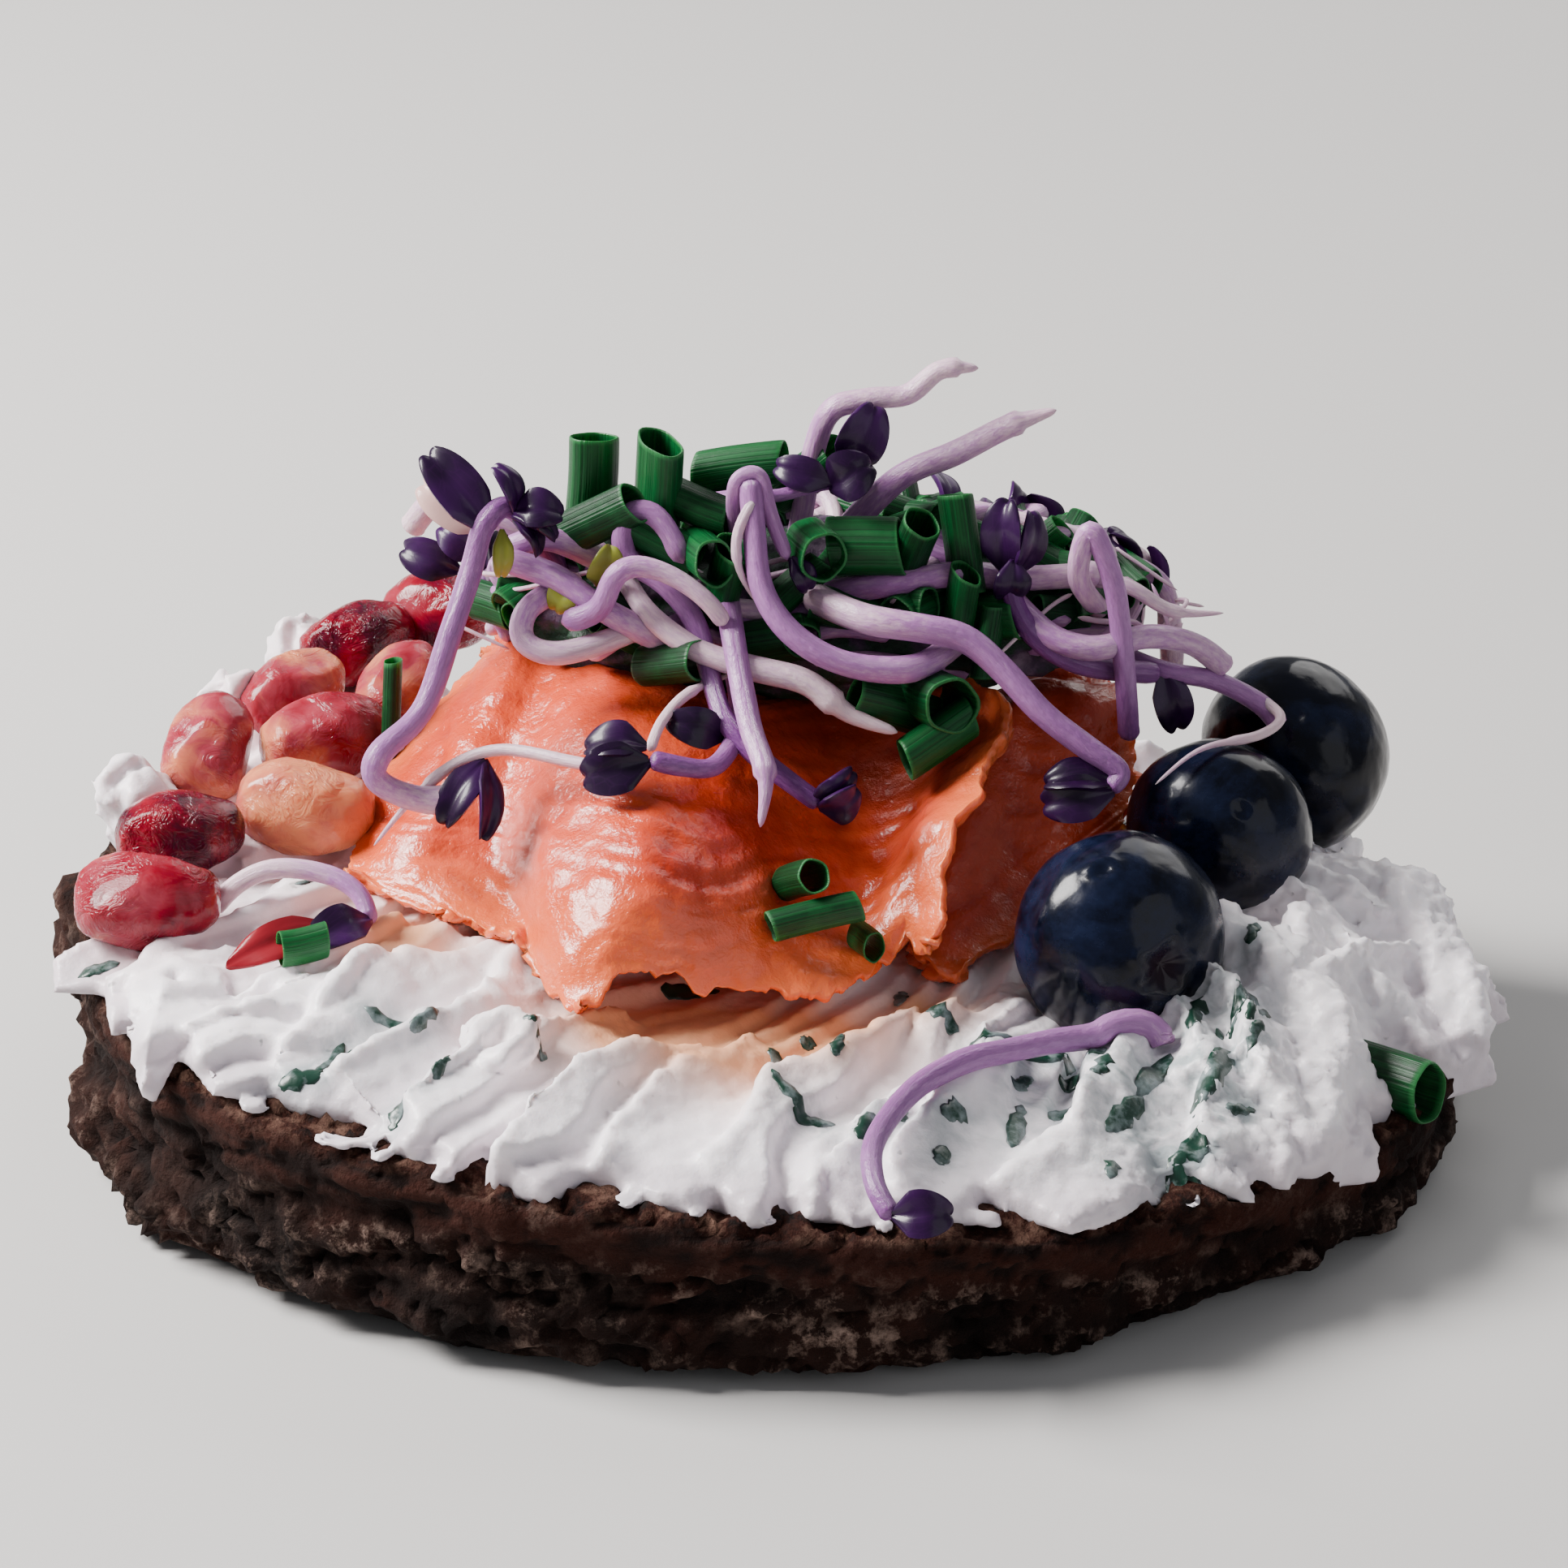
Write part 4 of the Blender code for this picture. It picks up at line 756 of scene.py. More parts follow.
def rim_strokes():
    """Long swipes that start at the rim and run inwards, all the way round."""
    draw = random.Random(SEED)
    strokes = []
    angle = 0.0
    while angle < 2 * math.pi:
        reach = rim_radius(angle) * draw.uniform(0.895, 0.975)
        if abs(angle - LEFT_BARE) < 0.20:
            reach *= 0.93
        start = (math.cos(angle) * reach, math.sin(angle) * reach)
        inwards = math.degrees(angle) + 180
        heading = 62 + 0.4 * start[0] if math.sin(angle) < 0.2 else inwards - 35
        if math.cos(angle) > 0.75:
            heading = inwards + 40
        heading += draw.uniform(-13, 13)
        size = draw.uniform(20, 31), draw.uniform(6.0, 10.0), draw.uniform(2.8, 4.4)
        bend = draw.uniform(-18, 26)
        drop = draw.uniform(0.2, 1.6)
        if math.cos(angle) < 0.80 or len(strokes) % 3 == 0:
            strokes.append(knife_stroke(start, heading, *size, bend, drop, len(strokes)))
        angle += draw.uniform(5.0, 8.4) / reach
    return strokes


def inner_strokes():
    return [
        knife_stroke(stroke[:2], *stroke[2:], seed=50 + i) for i, stroke in enumerate(INNER_STROKES)
    ]


def rim_crumbs():
    """Small uneven bits of cream on the bare crust along the front."""
    draw = random.Random(SEED + 3)
    crumbs = []
    for i in range(RIM_CRUMBS):
        angle = math.pi * draw.uniform(1.22, 1.80)
        reach = rim_radius(angle) * draw.uniform(0.935, 0.985)
        x, y, size = math.cos(angle) * reach, math.sin(angle) * reach, draw.uniform(0.6, 1.15)
        crumbs.append(rounded_lump(x, y, bread_top(x) + 0.30 * size, size, 0.55, i))
    return crumbs


def cream_wing(path, radius, seed):
    """A thick lumpy fold of cream with its crest along a path."""
    path = [Vector(point) for point in path]
    rings = []
    for station in range(STROKE_STATIONS):
        done = station / (STROKE_STATIONS - 1)
        crest = along_curve(path, done)
        ahead = along_curve(path, min(1, done + 0.02)) - along_curve(path, max(0, done - 0.02))
        side = Vector((-ahead.y, ahead.x, 0)).normalized()
        size = radius * (0.40 + 0.60 * math.sin(math.pi * (0.12 + 0.78 * done)))
        ring = []
        for k in range(WING_SIDES):
            angle = 2 * math.pi * k / WING_SIDES
            spot = Vector((math.cos(angle), math.sin(angle), 0))
            lumps = 1 + 0.34 * lumpy(spot * 1.1 + Vector((seed * 9, 0, done * 8)), 3)
            rise = (spot.y - 1) * (1 if spot.y > 0 else 1.25)
            out = side * spot.x * lumps + UP * (rise + lumps - 1)
            ring.append(at(*(crest + out * size)))
        rings.append(ring)
    return skin(rings)


def cream_slab():
    """The even layer under the strokes."""
    rings = []
    for reach, rise in SLAB_SECTION:
        ring = []
        for i in range(SLAB_SIDES):
            angle = 2 * math.pi * i / SLAB_SIDES
            ragged = 0.02 * math.sin(17 * angle) + 0.02 * math.sin(29 * angle + 1)
            ragged -= 0.06 * math.exp(-(((angle - LEFT_BARE) / 0.17) ** 2))
            radius = rim_radius(angle) * reach * (CREAM_REACH + ragged)
            x, y = math.cos(angle) * radius, math.sin(angle) * radius
            low = bread_top(x) - 0.6
            ring.append(at(x, y, low + (cream_level(x, y) - low) * rise))
        rings.append(ring)
    return skin(rings)


def hanging_tongue():
    """The pointed tongue of cream that hangs over the rim at the front left."""
    path = [Vector(point) for point in TONGUE]
    out = Vector((-0.3, -0.6, 1.0)) * 1.3
    rings = []
    for done, width in TONGUE_WIDTHS:
        side = Vector((0.96, -0.28, 0)) * width
        centre = along_curve(path, done)
        rings.append([at(*(centre + way)) for way in (-side, out, side, -0.9 * out)])
    return skin(rings)


def rounded_lump(x, y, z, radius, squash, seed):
    """A small uneven ball of cream."""
    mesh = primitive(bpy.ops.mesh.primitive_ico_sphere_add, subdivisions=3, radius=radius * MM)
    for vertex in mesh.vertices:
        vertex.co *= 1 + 0.36 * lumpy(vertex.co / MM * 0.8 + Vector((seed * 7.1, 0, 0)), 2)
        vertex.co.z *= squash
    mesh.transform(Matrix.Translation(at(x, y, z)))
    return mesh


def small_curl():
    """The little ring of cream that the knife left on the front strokes."""
    return primitive(
        bpy.ops.mesh.primitive_torus_add, major_radius=CURL_RADII[0] * MM,
        minor_radius=CURL_RADII[1] * MM, major_segments=40, minor_segments=16,
        location=at(*CURL_AT), rotation=(0.35, 0.1, 0),
    )


def cream_finish(look):
    """Soft, faintly glossy white that takes up the colour of what lies on it, with painted shade in
    its hollows.
    """
    made = Finish(
        "herb_cream", roughness=0.38, specular=0.45, glow=0.16, glow_radius=(1.0, 0.72, 0.55),
        glow_scale=0.9 * MM,
    )
    # Painted shade: darker cream in the hollows below the even level, partly the dark crumb showing
    # through thin cream.
    base = made.mix(made.painted("hollow"), look.white, look.shade)
    mottle = made.between(made.noise(160, 4, 0.6), 0.45, 0.8, 0, 0.25)
    base = made.mix(mottle, base, look.shade)
    blotch = made.between(made.noise(330, 4, 0.6, None, 0.8), 0.38, 0.62, 0.25, 1.0)
    base = made.mix(made.times(made.painted("stain"), blotch), base, look.stain)
    specks = made.between(made.noise(850, 2, 0.4), 0.70, 0.76, 0, 0.55)
    specks = made.times(specks, made.between(made.noise(90, 2), 0.5, 0.6))
    base = made.mix(specks, base, look.herb)
    base = made.mix(made.painted("warm"), base, look.warm)
    base = made.mix(made.painted("pink"), base, look.pink)
    relief = made.bump(made.noise(700, 5, 0.6), 0.16, 0.55)
    relief = made.bump(made.noise(2600, 3, 0.6), 0.05, 0.5, relief)
    made.set(colour=base, normal=relief)
    return made.material


def herb_finish(look):
    """Dark green, with a thin film of cream over parts of it."""
    made = Finish("sunk_herbs", roughness=0.34, specular=0.5)
    cover = made.between(made.noise(480, 4, 0.62), 0.47, 0.64, 0, 0.65)
    base = made.mix(cover, look.herb, look.stain)
    made.set(colour=base, normal=made.bump(made.noise(1500, 3), 0.08, 0.6))
    return made.material


def herb_bit(x, y, heading, reach, width, ground, seed):
    """A flat wavy scrap of chive pressed into the cream's surface."""
    turn = Matrix.Rotation(math.radians(heading), 3, "Z")
    steps, across = HERB_CELLS
    upper, lower = [], []
    for i in range(steps + 1):
        done = i / steps * 2 - 1
        half = 0.5 * width * (1 - abs(done) ** 3) ** 0.5 + 0.06
        half *= 1 + 0.8 * drift(seed, done * 2.6, 0)
        for j in range(across + 1):
            side = j / across * 2 - 1
            spot = turn @ Vector((done * reach / 2, side * half, 0)) + Vector((x, y, 0))
            top = at(*spot)
            top.z = SKY
            hit = ground.ray_cast(top, DOWN)[0]
            level = hit.z if hit else at(0, 0, bread_top(x)).z
            bulge = 0.14 * (1 - side * side) * (1 - done * done) + 0.12 * noise.noise(spot * 1.1)
            upper.append(Vector((top.x, top.y, level + (bulge + 0.06) * MM)))
            lower.append(Vector((top.x, top.y, level - HERB_ROOT * MM)))
    return clean(mesh_of(upper + lower, sheet_faces(steps, across)))


def herbs_at_random():
    """Small scraps all round, and more of them in the front right."""
    draw = random.Random(SEED)
    bits = []
    for i in range(HERBS_AT_RANDOM):
        angle = draw.uniform(0, 2 * math.pi)
        reach = rim_radius(angle) * draw.uniform(0.66, 0.90)
        spot = math.cos(angle) * reach, math.sin(angle) * reach
        if i % 3 == 0:
            spot = draw.uniform(2, 36), draw.uniform(-36, -18)
        elif math.sin(angle) < 0 and i % 2:
            continue
        heading = draw.gauss(62, 25)
        size = 1.6 if i % 3 == 0 else 1.0
        reach, width = draw.uniform(1.2, 3.2) * size, draw.uniform(0.3, 0.65) * size
        bits.append((*spot, heading, reach, width))
    return bits


def cream_lift(points, normals, look):
    """How far the knife lines, lumps and folds lift each point of the cream."""
    local = in_slice(points)
    thick = ramp(local[:, 0] - 0.25 * local[:, 1], 27, 40)
    thin = 1 - thick
    heading = np.radians(62 + 0.35 * local[:, 0])
    across = local[:, 1] * np.cos(heading) - local[:, 0] * np.sin(heading)
    along = local[:, 0] * np.cos(heading) + local[:, 1] * np.sin(heading)
    warp = field(points, 0.05, 2, 12.0) * 3
    turned = np.stack([across, along], 1)
    warped = turned + np.stack([warp, -warp], 1)
    ridges = np.abs(flat_noise(warped, 0.24, 0.035, 3))
    folds = np.sqrt(flat_noise(warped, 0.13, 0.085, 20) ** 2 + 0.006)
    tooth = ((across + 1.3 * warp) / SWEEP_WIDTH) % 1
    tooth = np.where(tooth < 0.3, tooth / 0.3, (1 - tooth) / 0.7)
    broken = ramp(flat_noise(turned, 0.11, 0.055, 40), -0.30, 0.15)
    lift = field(points, 0.48, 4, 3.3) * look.curd * (0.25 + 0.55 * thick)
    lift += field(points, 1.1, 3, 8.8) * (0.10 + 0.22 * thick) * MM
    lift += flat_noise(turned, 1.5, 0.12, 0) * look.ripple * thin
    lift += (0.35 - 2.4 * ridges) * look.ridges * thin
    lift += (0.45 - 2.2 * folds) * look.heaps * thick
    lift += (tooth - 0.5) * broken * look.sweeps * thin
    pit = ((local[:, :2] - np.array(PIT_AT)) ** 2).sum(1) / PIT_REACH**2
    lift -= PIT_DEPTH * MM * np.exp(-pit)
    return lift * ramp(normals[:, 2], -0.3, 0.2)


def nearness(local, x, y, reach):
    """1 at a place on the slice, falling off smoothly over a reach."""
    return np.exp(-((local[:, 0] - x) ** 2 + (local[:, 1] - y) ** 2) / reach**2)


def paint_cream(mesh, herbs):
    """Marks the hollows for painted shade, the tints of salmon and seeds, and the stains round the
    herbs.
    """
    local = in_slice(points_of(mesh))
    smooth = np.array([cream_level(x, y) for x, y in local[:, :2]])
    # Painted shade in the hollows: how far each point lies below the even level.
    paint(mesh, "hollow", ramp(local[:, 2] - smooth, 0.2, -1.2) * 0.7)
    warm = sum(nearness(local, *tint) for tint in SALMON_TINTS)
    paint(mesh, "warm", np.clip(warm, 0, 0.85))
    pink = sum(nearness(local, *seed[0][:2], SEED_TINT_REACH) for seed in SEEDS)
    paint(mesh, "pink", np.clip(pink * 0.4, 0, 0.45))
    stain = np.zeros(len(local))
    for x, y, heading, reach, width in herbs:
        turn = math.radians(heading)
        along = (local[:, 0] - x) * math.cos(turn) + (local[:, 1] - y) * math.sin(turn)
        aside = (local[:, 1] - y) * math.cos(turn) - (local[:, 0] - x) * math.sin(turn)
        stain += 0.75 * np.exp(-((along / reach) ** 2) - (aside / (1.7 * width)) ** 2)
    paint(mesh, "stain", np.clip(stain, 0, 0.85))


class SANDWICH_OT_cream(bpy.types.Operator):
    """The herb cream: every swipe of the knife over an even layer, melted into one body"""

    bl_idname = "sandwich.cream"
    bl_label = "Cream"

    def execute(self, context):
        look = context.scene.sandwich_cream
        meshes = [cream_slab(), *rim_strokes(), *inner_strokes(), hanging_tongue(), small_curl()]
        meshes += rim_crumbs() + [cream_wing(*wing, seed=i) for i, wing in enumerate(WINGS)]
        meshes += [
            rounded_lump(*lump, squash=1.0, seed=20 + i) for i, lump in enumerate(REAR_LUMPS)
        ]
        piece = joined_piece("cream_spread", meshes)
        shape_with(piece, "REMESH", mode="VOXEL", voxel_size=look.grid)
        shape_with(piece, "SMOOTH", factor=0.5, iterations=1)
        points, normals = points_of(piece.data), normals_of(piece.data)
        set_points(piece.data, points + normals * cream_lift(points, normals, look)[:, None])
        triangles = 2 * len(piece.data.polygons)
        if triangles > look.faces:
            shape_with(piece, "DECIMATE", ratio=look.faces / triangles)
        bits = list(HERBS) + herbs_at_random()
        paint_cream(piece.data, bits)
        finish_piece(piece, cream_finish(look), "cream", "cream_cheese")
        ground = ground_of("cream_spread")
        on_cream = [bit for bit in bits if ground.ray_cast(at(bit[0], bit[1], SKY / MM), DOWN)[0]]
        meshes = [herb_bit(*bit, ground, i) for i, bit in enumerate(on_cream)]
        herbs = joined_piece("herb_bits", meshes)
        finish_piece(herbs, herb_finish(look), "stem")
        return {"FINISHED"}


# Salmon

# Rows of points down a slice, from its top to its front edge, left to right.
SALMON_LARGE = [
    [(-21.5, 15.5, 29.5), (-25.5, 12.5, 26), (-29.2, 8, 22.8),
     (-30.8, 1.5, 20.6), (-31.4, -3.6, 19.6)],
    [(-18.7, 13.4, 31.5), (-21.5, 6.3, 28.5), (-24.3, 0.6, 24.8),
     (-26.5, -4.2, 21.8), (-23, -10, 19.6)],
    [(-16.4, 12.7, 31), (-18.2, 4.5, 28.2), (-19.4, -1.2, 24.4),
     (-19.4, -6.2, 21.6), (-17.6, -14.6, 19.2)],
    [(-13.7, 10.1, 31.5), (-14.6, 1.2, 29.8), (-15.4, -6.5, 27),
     (-15.4, -14.3, 23.4), (-14.2, -21.8, 18.4)],
    [(-10.6, 7, 31.8), (-9.7, -4.2, 30.4), (-8.9, -12.7, 28),
     (-9.1, -18.2, 25), (-8.9, -20.4, 20.8)],
    [(-5.1, 4.8, 30.8), (-3.8, -3.8, 28.8), (-2.6, -10.9, 26),
     (-1.7, -16.2, 22.6), (-2.5, -19.2, 18.6)],
    [(-0.3, 5.6, 29.5), (1.5, 0.6, 26.6), (3.0, -5.7, 23.4),
     (3.3, -12.3, 20.0), (3.3, -18.4, 17.8)],
    [(4, 9.7, 29), (6.5, 3.8, 25.2), (7.4, -2.9, 22),
     (7.2, -9, 19.8), (6.8, -15.6, 17.6)],
    [(10.7, 9.3, 30.5), (15.2, 3, 29), (13, -1.9, 27),
     (10.4, -8.4, 24), (9.9, -12.6, 18.8)],
    [(12.2, 9.7, 31.2), (17.4, 2.0, 31.2), (15.8, -3.3, 28.8),
     (13.0, -10.1, 25.4), (12.0, -14.4, 19.8)],
]
# The free flap at the large slice's right, as a share of its width, and how far up its front
# the hollow of its arch goes.
LIP = 1 / 9
ARCH_HOLLOW = 0.42
SALMON_SMALL = [
    [(11, 12, 25.4), (10.4, 8, 22.8), (10.2, 2.4, 20),
     (9.8, -3, 17.8), (10.4, -7.6, 16.4)],
    [(17.5, 10, 27.5), (15.4, 4.9, 24.5), (13.6, -1.9, 20.6),
     (12.4, -6.6, 17.6), (12.6, -11.2, 15.8)],
    [(21.1, 10.8, 28.6), (19.8, 6.7, 25), (18.5, 2.3, 21.2),
     (17.6, -2.6, 18.4), (18.2, -5.6, 16.4)],
    [(25.0, 10.8, 28.4), (24.2, 7.1, 25.5), (23.3, 4.4, 22),
     (22.7, 2.2, 19.8), (22.8, 0.2, 18.4)],
    [(27.8, 12.6, 26.8), (28, 11.2, 24.6), (27.8, 8.8, 22.4),
     (27.2, 6.6, 20.8), (26.6, 5, 19.6)],
]
SALMON_BACK_Y = 25
CLEAR = 0.3
LEAST_THICKNESS = 0.9
# Rounds of smoothing that tell a fold from its surroundings.
FOLD_ROUNDS = 24
# Cells of the slices' meshes, across and down.
LARGE_CELLS = (216, 126)
SMALL_CELLS = (72, 81)


def ways_at(grid, i, j):
    """The ways across and down a grid of points, at one of them."""
    line = grid[i]
    along = grid[min(i + 1, len(grid) - 1)][j] - grid[max(i - 1, 0)][j]
    return along, line[min(j + 1, len(line) - 1)] - line[max(j - 1, 0)]


def salmon_grid(rows, across, down):
    """Points of the slice's upper face, carried on over its top and down behind."""
    lines = []
    for i, row in enumerate(rows):
        side = 2 * i / (len(rows) - 1) - 1
        front = [Vector(point) for point in row]
        top = front[0]
        rear_x = top.x * 1.04
        rear_y = SALMON_BACK_Y + 1.6 * math.sin(4.1 * side + 0.4) - 3.5 * side**4
        rear = Vector((rear_x, rear_y, cream_level(rear_x, rear_y) + 3.2))
        shoulder = Vector((top.x, min(top.y + 6, rear_y - 3), top.z - 2.2))
        lines.append([rear, shoulder, *front])
    grid = []
    for i in range(across + 1):
        crossings = [[along_curve(line, j / down) for line in lines] for j in range(down + 1)]
        grid.append([along_curve(crossing, i / across) for crossing in crossings])
    return grid


def level_under(point, ground):
    hit = ground.ray_cast(Vector((point.x, point.y, SKY)), DOWN)[0]
    return hit.z if hit else bread_top(point.x / MM) * MM


def wrinkled(grid, look, seed):
    """The sheet in metres with soft wrinkles, and its front and sides torn a little."""
    across, down = len(grid) - 1, len(grid[0]) - 1
    made = []
    for i, line in enumerate(grid):
        row = []
        for j, point in enumerate(line):
            along, forward = ways_at(grid, i, j)
            facing = forward.cross(along).normalized()
            soft = lumpy(point * 0.16 + Vector((seed, 0, 0)), 3)
            bent = noise.noise(point * 0.12 + Vector((5, seed, 0))) * 9
            creases = abs(drift(i * 0.020, (j + bent) * 0.17, seed))
            folded = lumpy(point * 0.55 + Vector((0, seed, 0)), 3)
            lift = (1.7 * soft - 1.5 * creases + 0.55 * folded) * look.wrinkle / MM
            behind = min(1, max(0, 0.30 - j / down) * 12)
            layer = (j / down * 10 + 1.6 * drift(i * 0.035, seed, 9)) % 1
            lift += behind * (min(layer / 0.75, (1 - layer) / 0.25) - 0.5) * look.layers / MM
            front = max(0, (j - down * 0.86) / (down * 0.14))
            sides = max(0, 1 - min(i, across - i) / (across * 0.05))
            tear = forward.normalized() * lumpy(Vector((i * 0.11, seed, 2)), 4) * front
            tear += along.normalized() * lumpy(Vector((seed, j * 0.12, 5)), 4) * sides
            row.append(at(*(point + facing * lift + tear * look.tear / MM)))
        made.append(row)
    return made


def make_sheet(name, rows, cells, ground, look, seed, lip=0.0, hollow=0.246):
    """A folded slice: thin and ragged at its edges, solid down to the cream further in."""
    across, down = cells
    grid = wrinkled(salmon_grid(rows, across, down), look, seed)
    for line in grid:
        for point in line:
            point.z = max(point.z, level_under(point, ground) + (LEAST_THICKNESS + CLEAR) * MM)
    lower = []
    for i, line in enumerate(grid):
        under = []
        for j, point in enumerate(line):
            along, forward = ways_at(grid, i, j)
            edge = min(i, across - i, down - j) / (across * 0.05)
            depth = look.thickness * min(1, 0.35 + 0.65 * edge)
            thin = point - forward.cross(along).normalized() * depth
            inset = min(
                i / (across * 0.118), (across * (1 - lip) - i) / (across * 0.118),
                j / (down * 0.115), (down - j) / (down * hollow), 1,
            )
            floor_z = min(level_under(point, ground) - CLEAR * MM, thin.z)
            under.append(thin.lerp(Vector((point.x, point.y, floor_z)), ramp(inset, 0.3, 1)))
        lower.append(under)
    points = [point for line in grid + lower for point in line]
    mesh = mesh_of(points, sheet_faces(across, down), name)
    spots = [(i, j) for i in range(across + 1) for j in range(down + 1)] * 2
    # The edge mark, wide along the front: where the finish paints light shining through the thin
    # flesh.
    inwards = [min(i * 1.4, (across - i) * 0.6, (down - j) * 0.55) for i, j in spots]
    paint(mesh, "edge", 1 - np.clip(np.array(inwards) / (across * 0.075), 0, 1))
    map_points(mesh, "sheet", [(i / across, j / down) for i, j in spots])
    paint_folds(clean(mesh, merge=False))
    return add_piece(name, mesh)


def paint_folds(mesh):
    """Marks how far each point lies below or above its smoothed surroundings, -1 to 1."""
    points, normals = points_of(mesh), normals_of(mesh)
    pairs = np.zeros(len(mesh.edges) * 2, int)
    mesh.edges.foreach_get("vertices", pairs)
    a, b = pairs.reshape(-1, 2).T
    count = np.bincount(a, minlength=len(points)) + np.bincount(b, minlength=len(points))
    smooth = points.copy()
    for _ in range(FOLD_ROUNDS):
        gathered = np.zeros_like(smooth)
        np.add.at(gathered, a, smooth[b])
        np.add.at(gathered, b, smooth[a])
        smooth = 0.5 * smooth + 0.5 * gathered / count[:, None]
    depth = np.einsum("ij,ij->i", points - smooth, normals) / MM
    paint(mesh, "fold", np.clip(depth * 4, -1, 1))


def salmon_finish(look):
    """Wet, faintly see-through flesh: pale tops with a painted highlight, paler edges partly with
    painted light through them, red orange folds with painted shade.
    """
    made = Finish(
        "smoked_salmon", roughness=0.30, specular=0.44, coat=0.17, coat_roughness=0.07, glow=0.30,
        glow_radius=(1.0, 0.24, 0.08), glow_scale=2.0 * MM,
    )
    sheet = made.around()
    fold, edge = made.painted("fold"), made.painted("edge")
    cloud = made.noise(46, 3, 0.5)
    base = made.colours(cloud, (0.30, look.deep_and_fold_shade), (0.46, look.flesh), (0.80, look.pale))
    # Painted shade: deeper red orange in the hollow folds.
    base = made.mix(made.between(fold, 0.0, -0.7, 0, 0.75), base, look.deep_and_fold_shade)
    # Painted highlight: paler pink on the raised folds and tops.
    base = made.mix(made.between(fold, 0.10, 0.9, 0, 0.45), base, look.pale)
    # Partly painted light: lighter yellow orange at the thin edges and along the front, where light
    # shines through the flesh.
    base = made.mix(made.times(edge, 0.85), base, look.thin)
    fibre = made.noise(9, 5, 0.6, sheet, 0.6)
    fat = made.between(fibre, 0.60, 0.74, 0, 0.22)
    base = made.mix(fat, base, look.pale)
    relief = made.bump(made.noise(300, 5, 0.62, None, 0.8), 0.24, 0.5)
    relief = made.bump(made.noise(1050, 4, 0.65), 0.17, 0.8, relief)
    relief = made.bump(made.noise(2300, 3, 0.6), 0.10, 0.8, relief)
    wet = made.between(made.noise(210, 3), 0.35, 0.7, 0.12, 0.30)
    made.set(colour=base, normal=relief, roughness=wet)
    return made.material


class SANDWICH_OT_salmon(bpy.types.Operator):
    """The two folded slices of smoked salmon"""

    bl_idname = "sandwich.salmon"
    bl_label = "Salmon"

    def execute(self, context):
        look = context.scene.sandwich_salmon
        finish = salmon_finish(look)
        ground = ground_of("cream_spread")
        large = make_sheet(
            "salmon_large_slice", SALMON_LARGE, LARGE_CELLS, ground, look, 1.3, LIP, ARCH_HOLLOW
        )
        finish_piece(large, finish, "salmon", "salmon_large")
        small = make_sheet("salmon_small_slice", SALMON_SMALL, SMALL_CELLS, ground, look, 6.1)
        finish_piece(small, finish, "salmon", "salmon_small")
        return {"FINISHED"}


# Seeds and berries

# Seeds: centre, azimuth and rise of the long way, size, and how red each end is (0 to 1).
SEEDS = [
    ((-44.8, -11.2, 21.6), -4, 4, 1.04, 0.42, 0.88),
    ((-43.4, -1.0, 22.0), 12, 6, 0.94, 0.72, 1.0),
    ((-34.4, 3.4, 22.2), -8, 0, 1.02, 0.22, 0.02),
    ((-42.4, 12.0, 23.2), 75, 34, 0.90, 0.34, 0.46),
    ((-36.8, 22.0, 23.0), 40, 22, 0.90, 0.70, 0.14),
    ((-33.6, 12.8, 23.6), 14, 8, 0.98, 0.16, 0.74),
    ((-32.4, 31.2, 23.4), 20, 16, 0.92, 0.80, 0.95),
    ((-26.0, 34.6, 24.6), -24, 14, 0.94, 0.62, 0.80),
    ((-28.4, 21.8, 24.0), 62, 25, 0.80, 0.30, 0.42),
]
SEED_SIDES = 7


def pressed_seed(index, look):
    """A juicy seed: a ball drawn out lengthwise, then pressed flat on a few sides."""
    centre, azimuth, rise, size, red_start, red_end = SEEDS[index]
    mesh = primitive(
        bpy.ops.mesh.primitive_uv_sphere_add, segments=56, ring_count=40, radius=0.5,
        rotation=(0, math.pi / 2, 0),
    )
    draw = random.Random(SEED * 100 + index)
    presses = []
    for k in range(SEED_SIDES):
        way = 2 * math.pi * (k + draw.uniform(-0.25, 0.25)) / SEED_SIDES
        facing = Vector((draw.uniform(-0.45, 0.45), math.cos(way), math.sin(way))).normalized()
        presses.append((facing, draw.uniform(0.28, 0.335)))
    redness = []
    for vertex in mesh.vertices:
        done = vertex.co.x + 0.5
        bare = Vector((0, vertex.co.y, vertex.co.z))
        around = bare.normalized() if bare.length > 1e-6 else bare
        girth = math.sqrt(max(0, 1 - (2 * done - 1) ** 2)) ** 0.75
        girth *= 1.0 - 0.20 * (done - 0.5) - 0.16 * (0.5 - done) ** 2
        place = Vector((done - 0.5, around.y * 0.385 * girth, around.z * 0.350 * girth))
        for facing, depth in presses:
            over = place.dot(facing) - depth
            if over > 0:
                place -= facing * over * 0.62
        place *= 1 + 0.035 * lumpy(place * 5 + Vector((index * 3.3, 0, 0)))
        vertex.co = place
        blotch = noise.noise(place * 3.4 + Vector((0, index * 2.7, 0)))
        redness.append(red_start + (red_end - red_start) * done + 0.35 * blotch)
    paint(mesh, "red", np.clip(redness, 0, 1))
    turn = Matrix.Rotation(math.radians(azimuth), 4, "Z")
    turn @= Matrix.Rotation(-math.radians(rise), 4, "Y")
    mesh.transform(Matrix.Translation(at(*centre)) @ turn @ Matrix.Scale(look.size * size, 4))
    return add_piece(f"pomegranate_seed_{index + 1}", mesh)


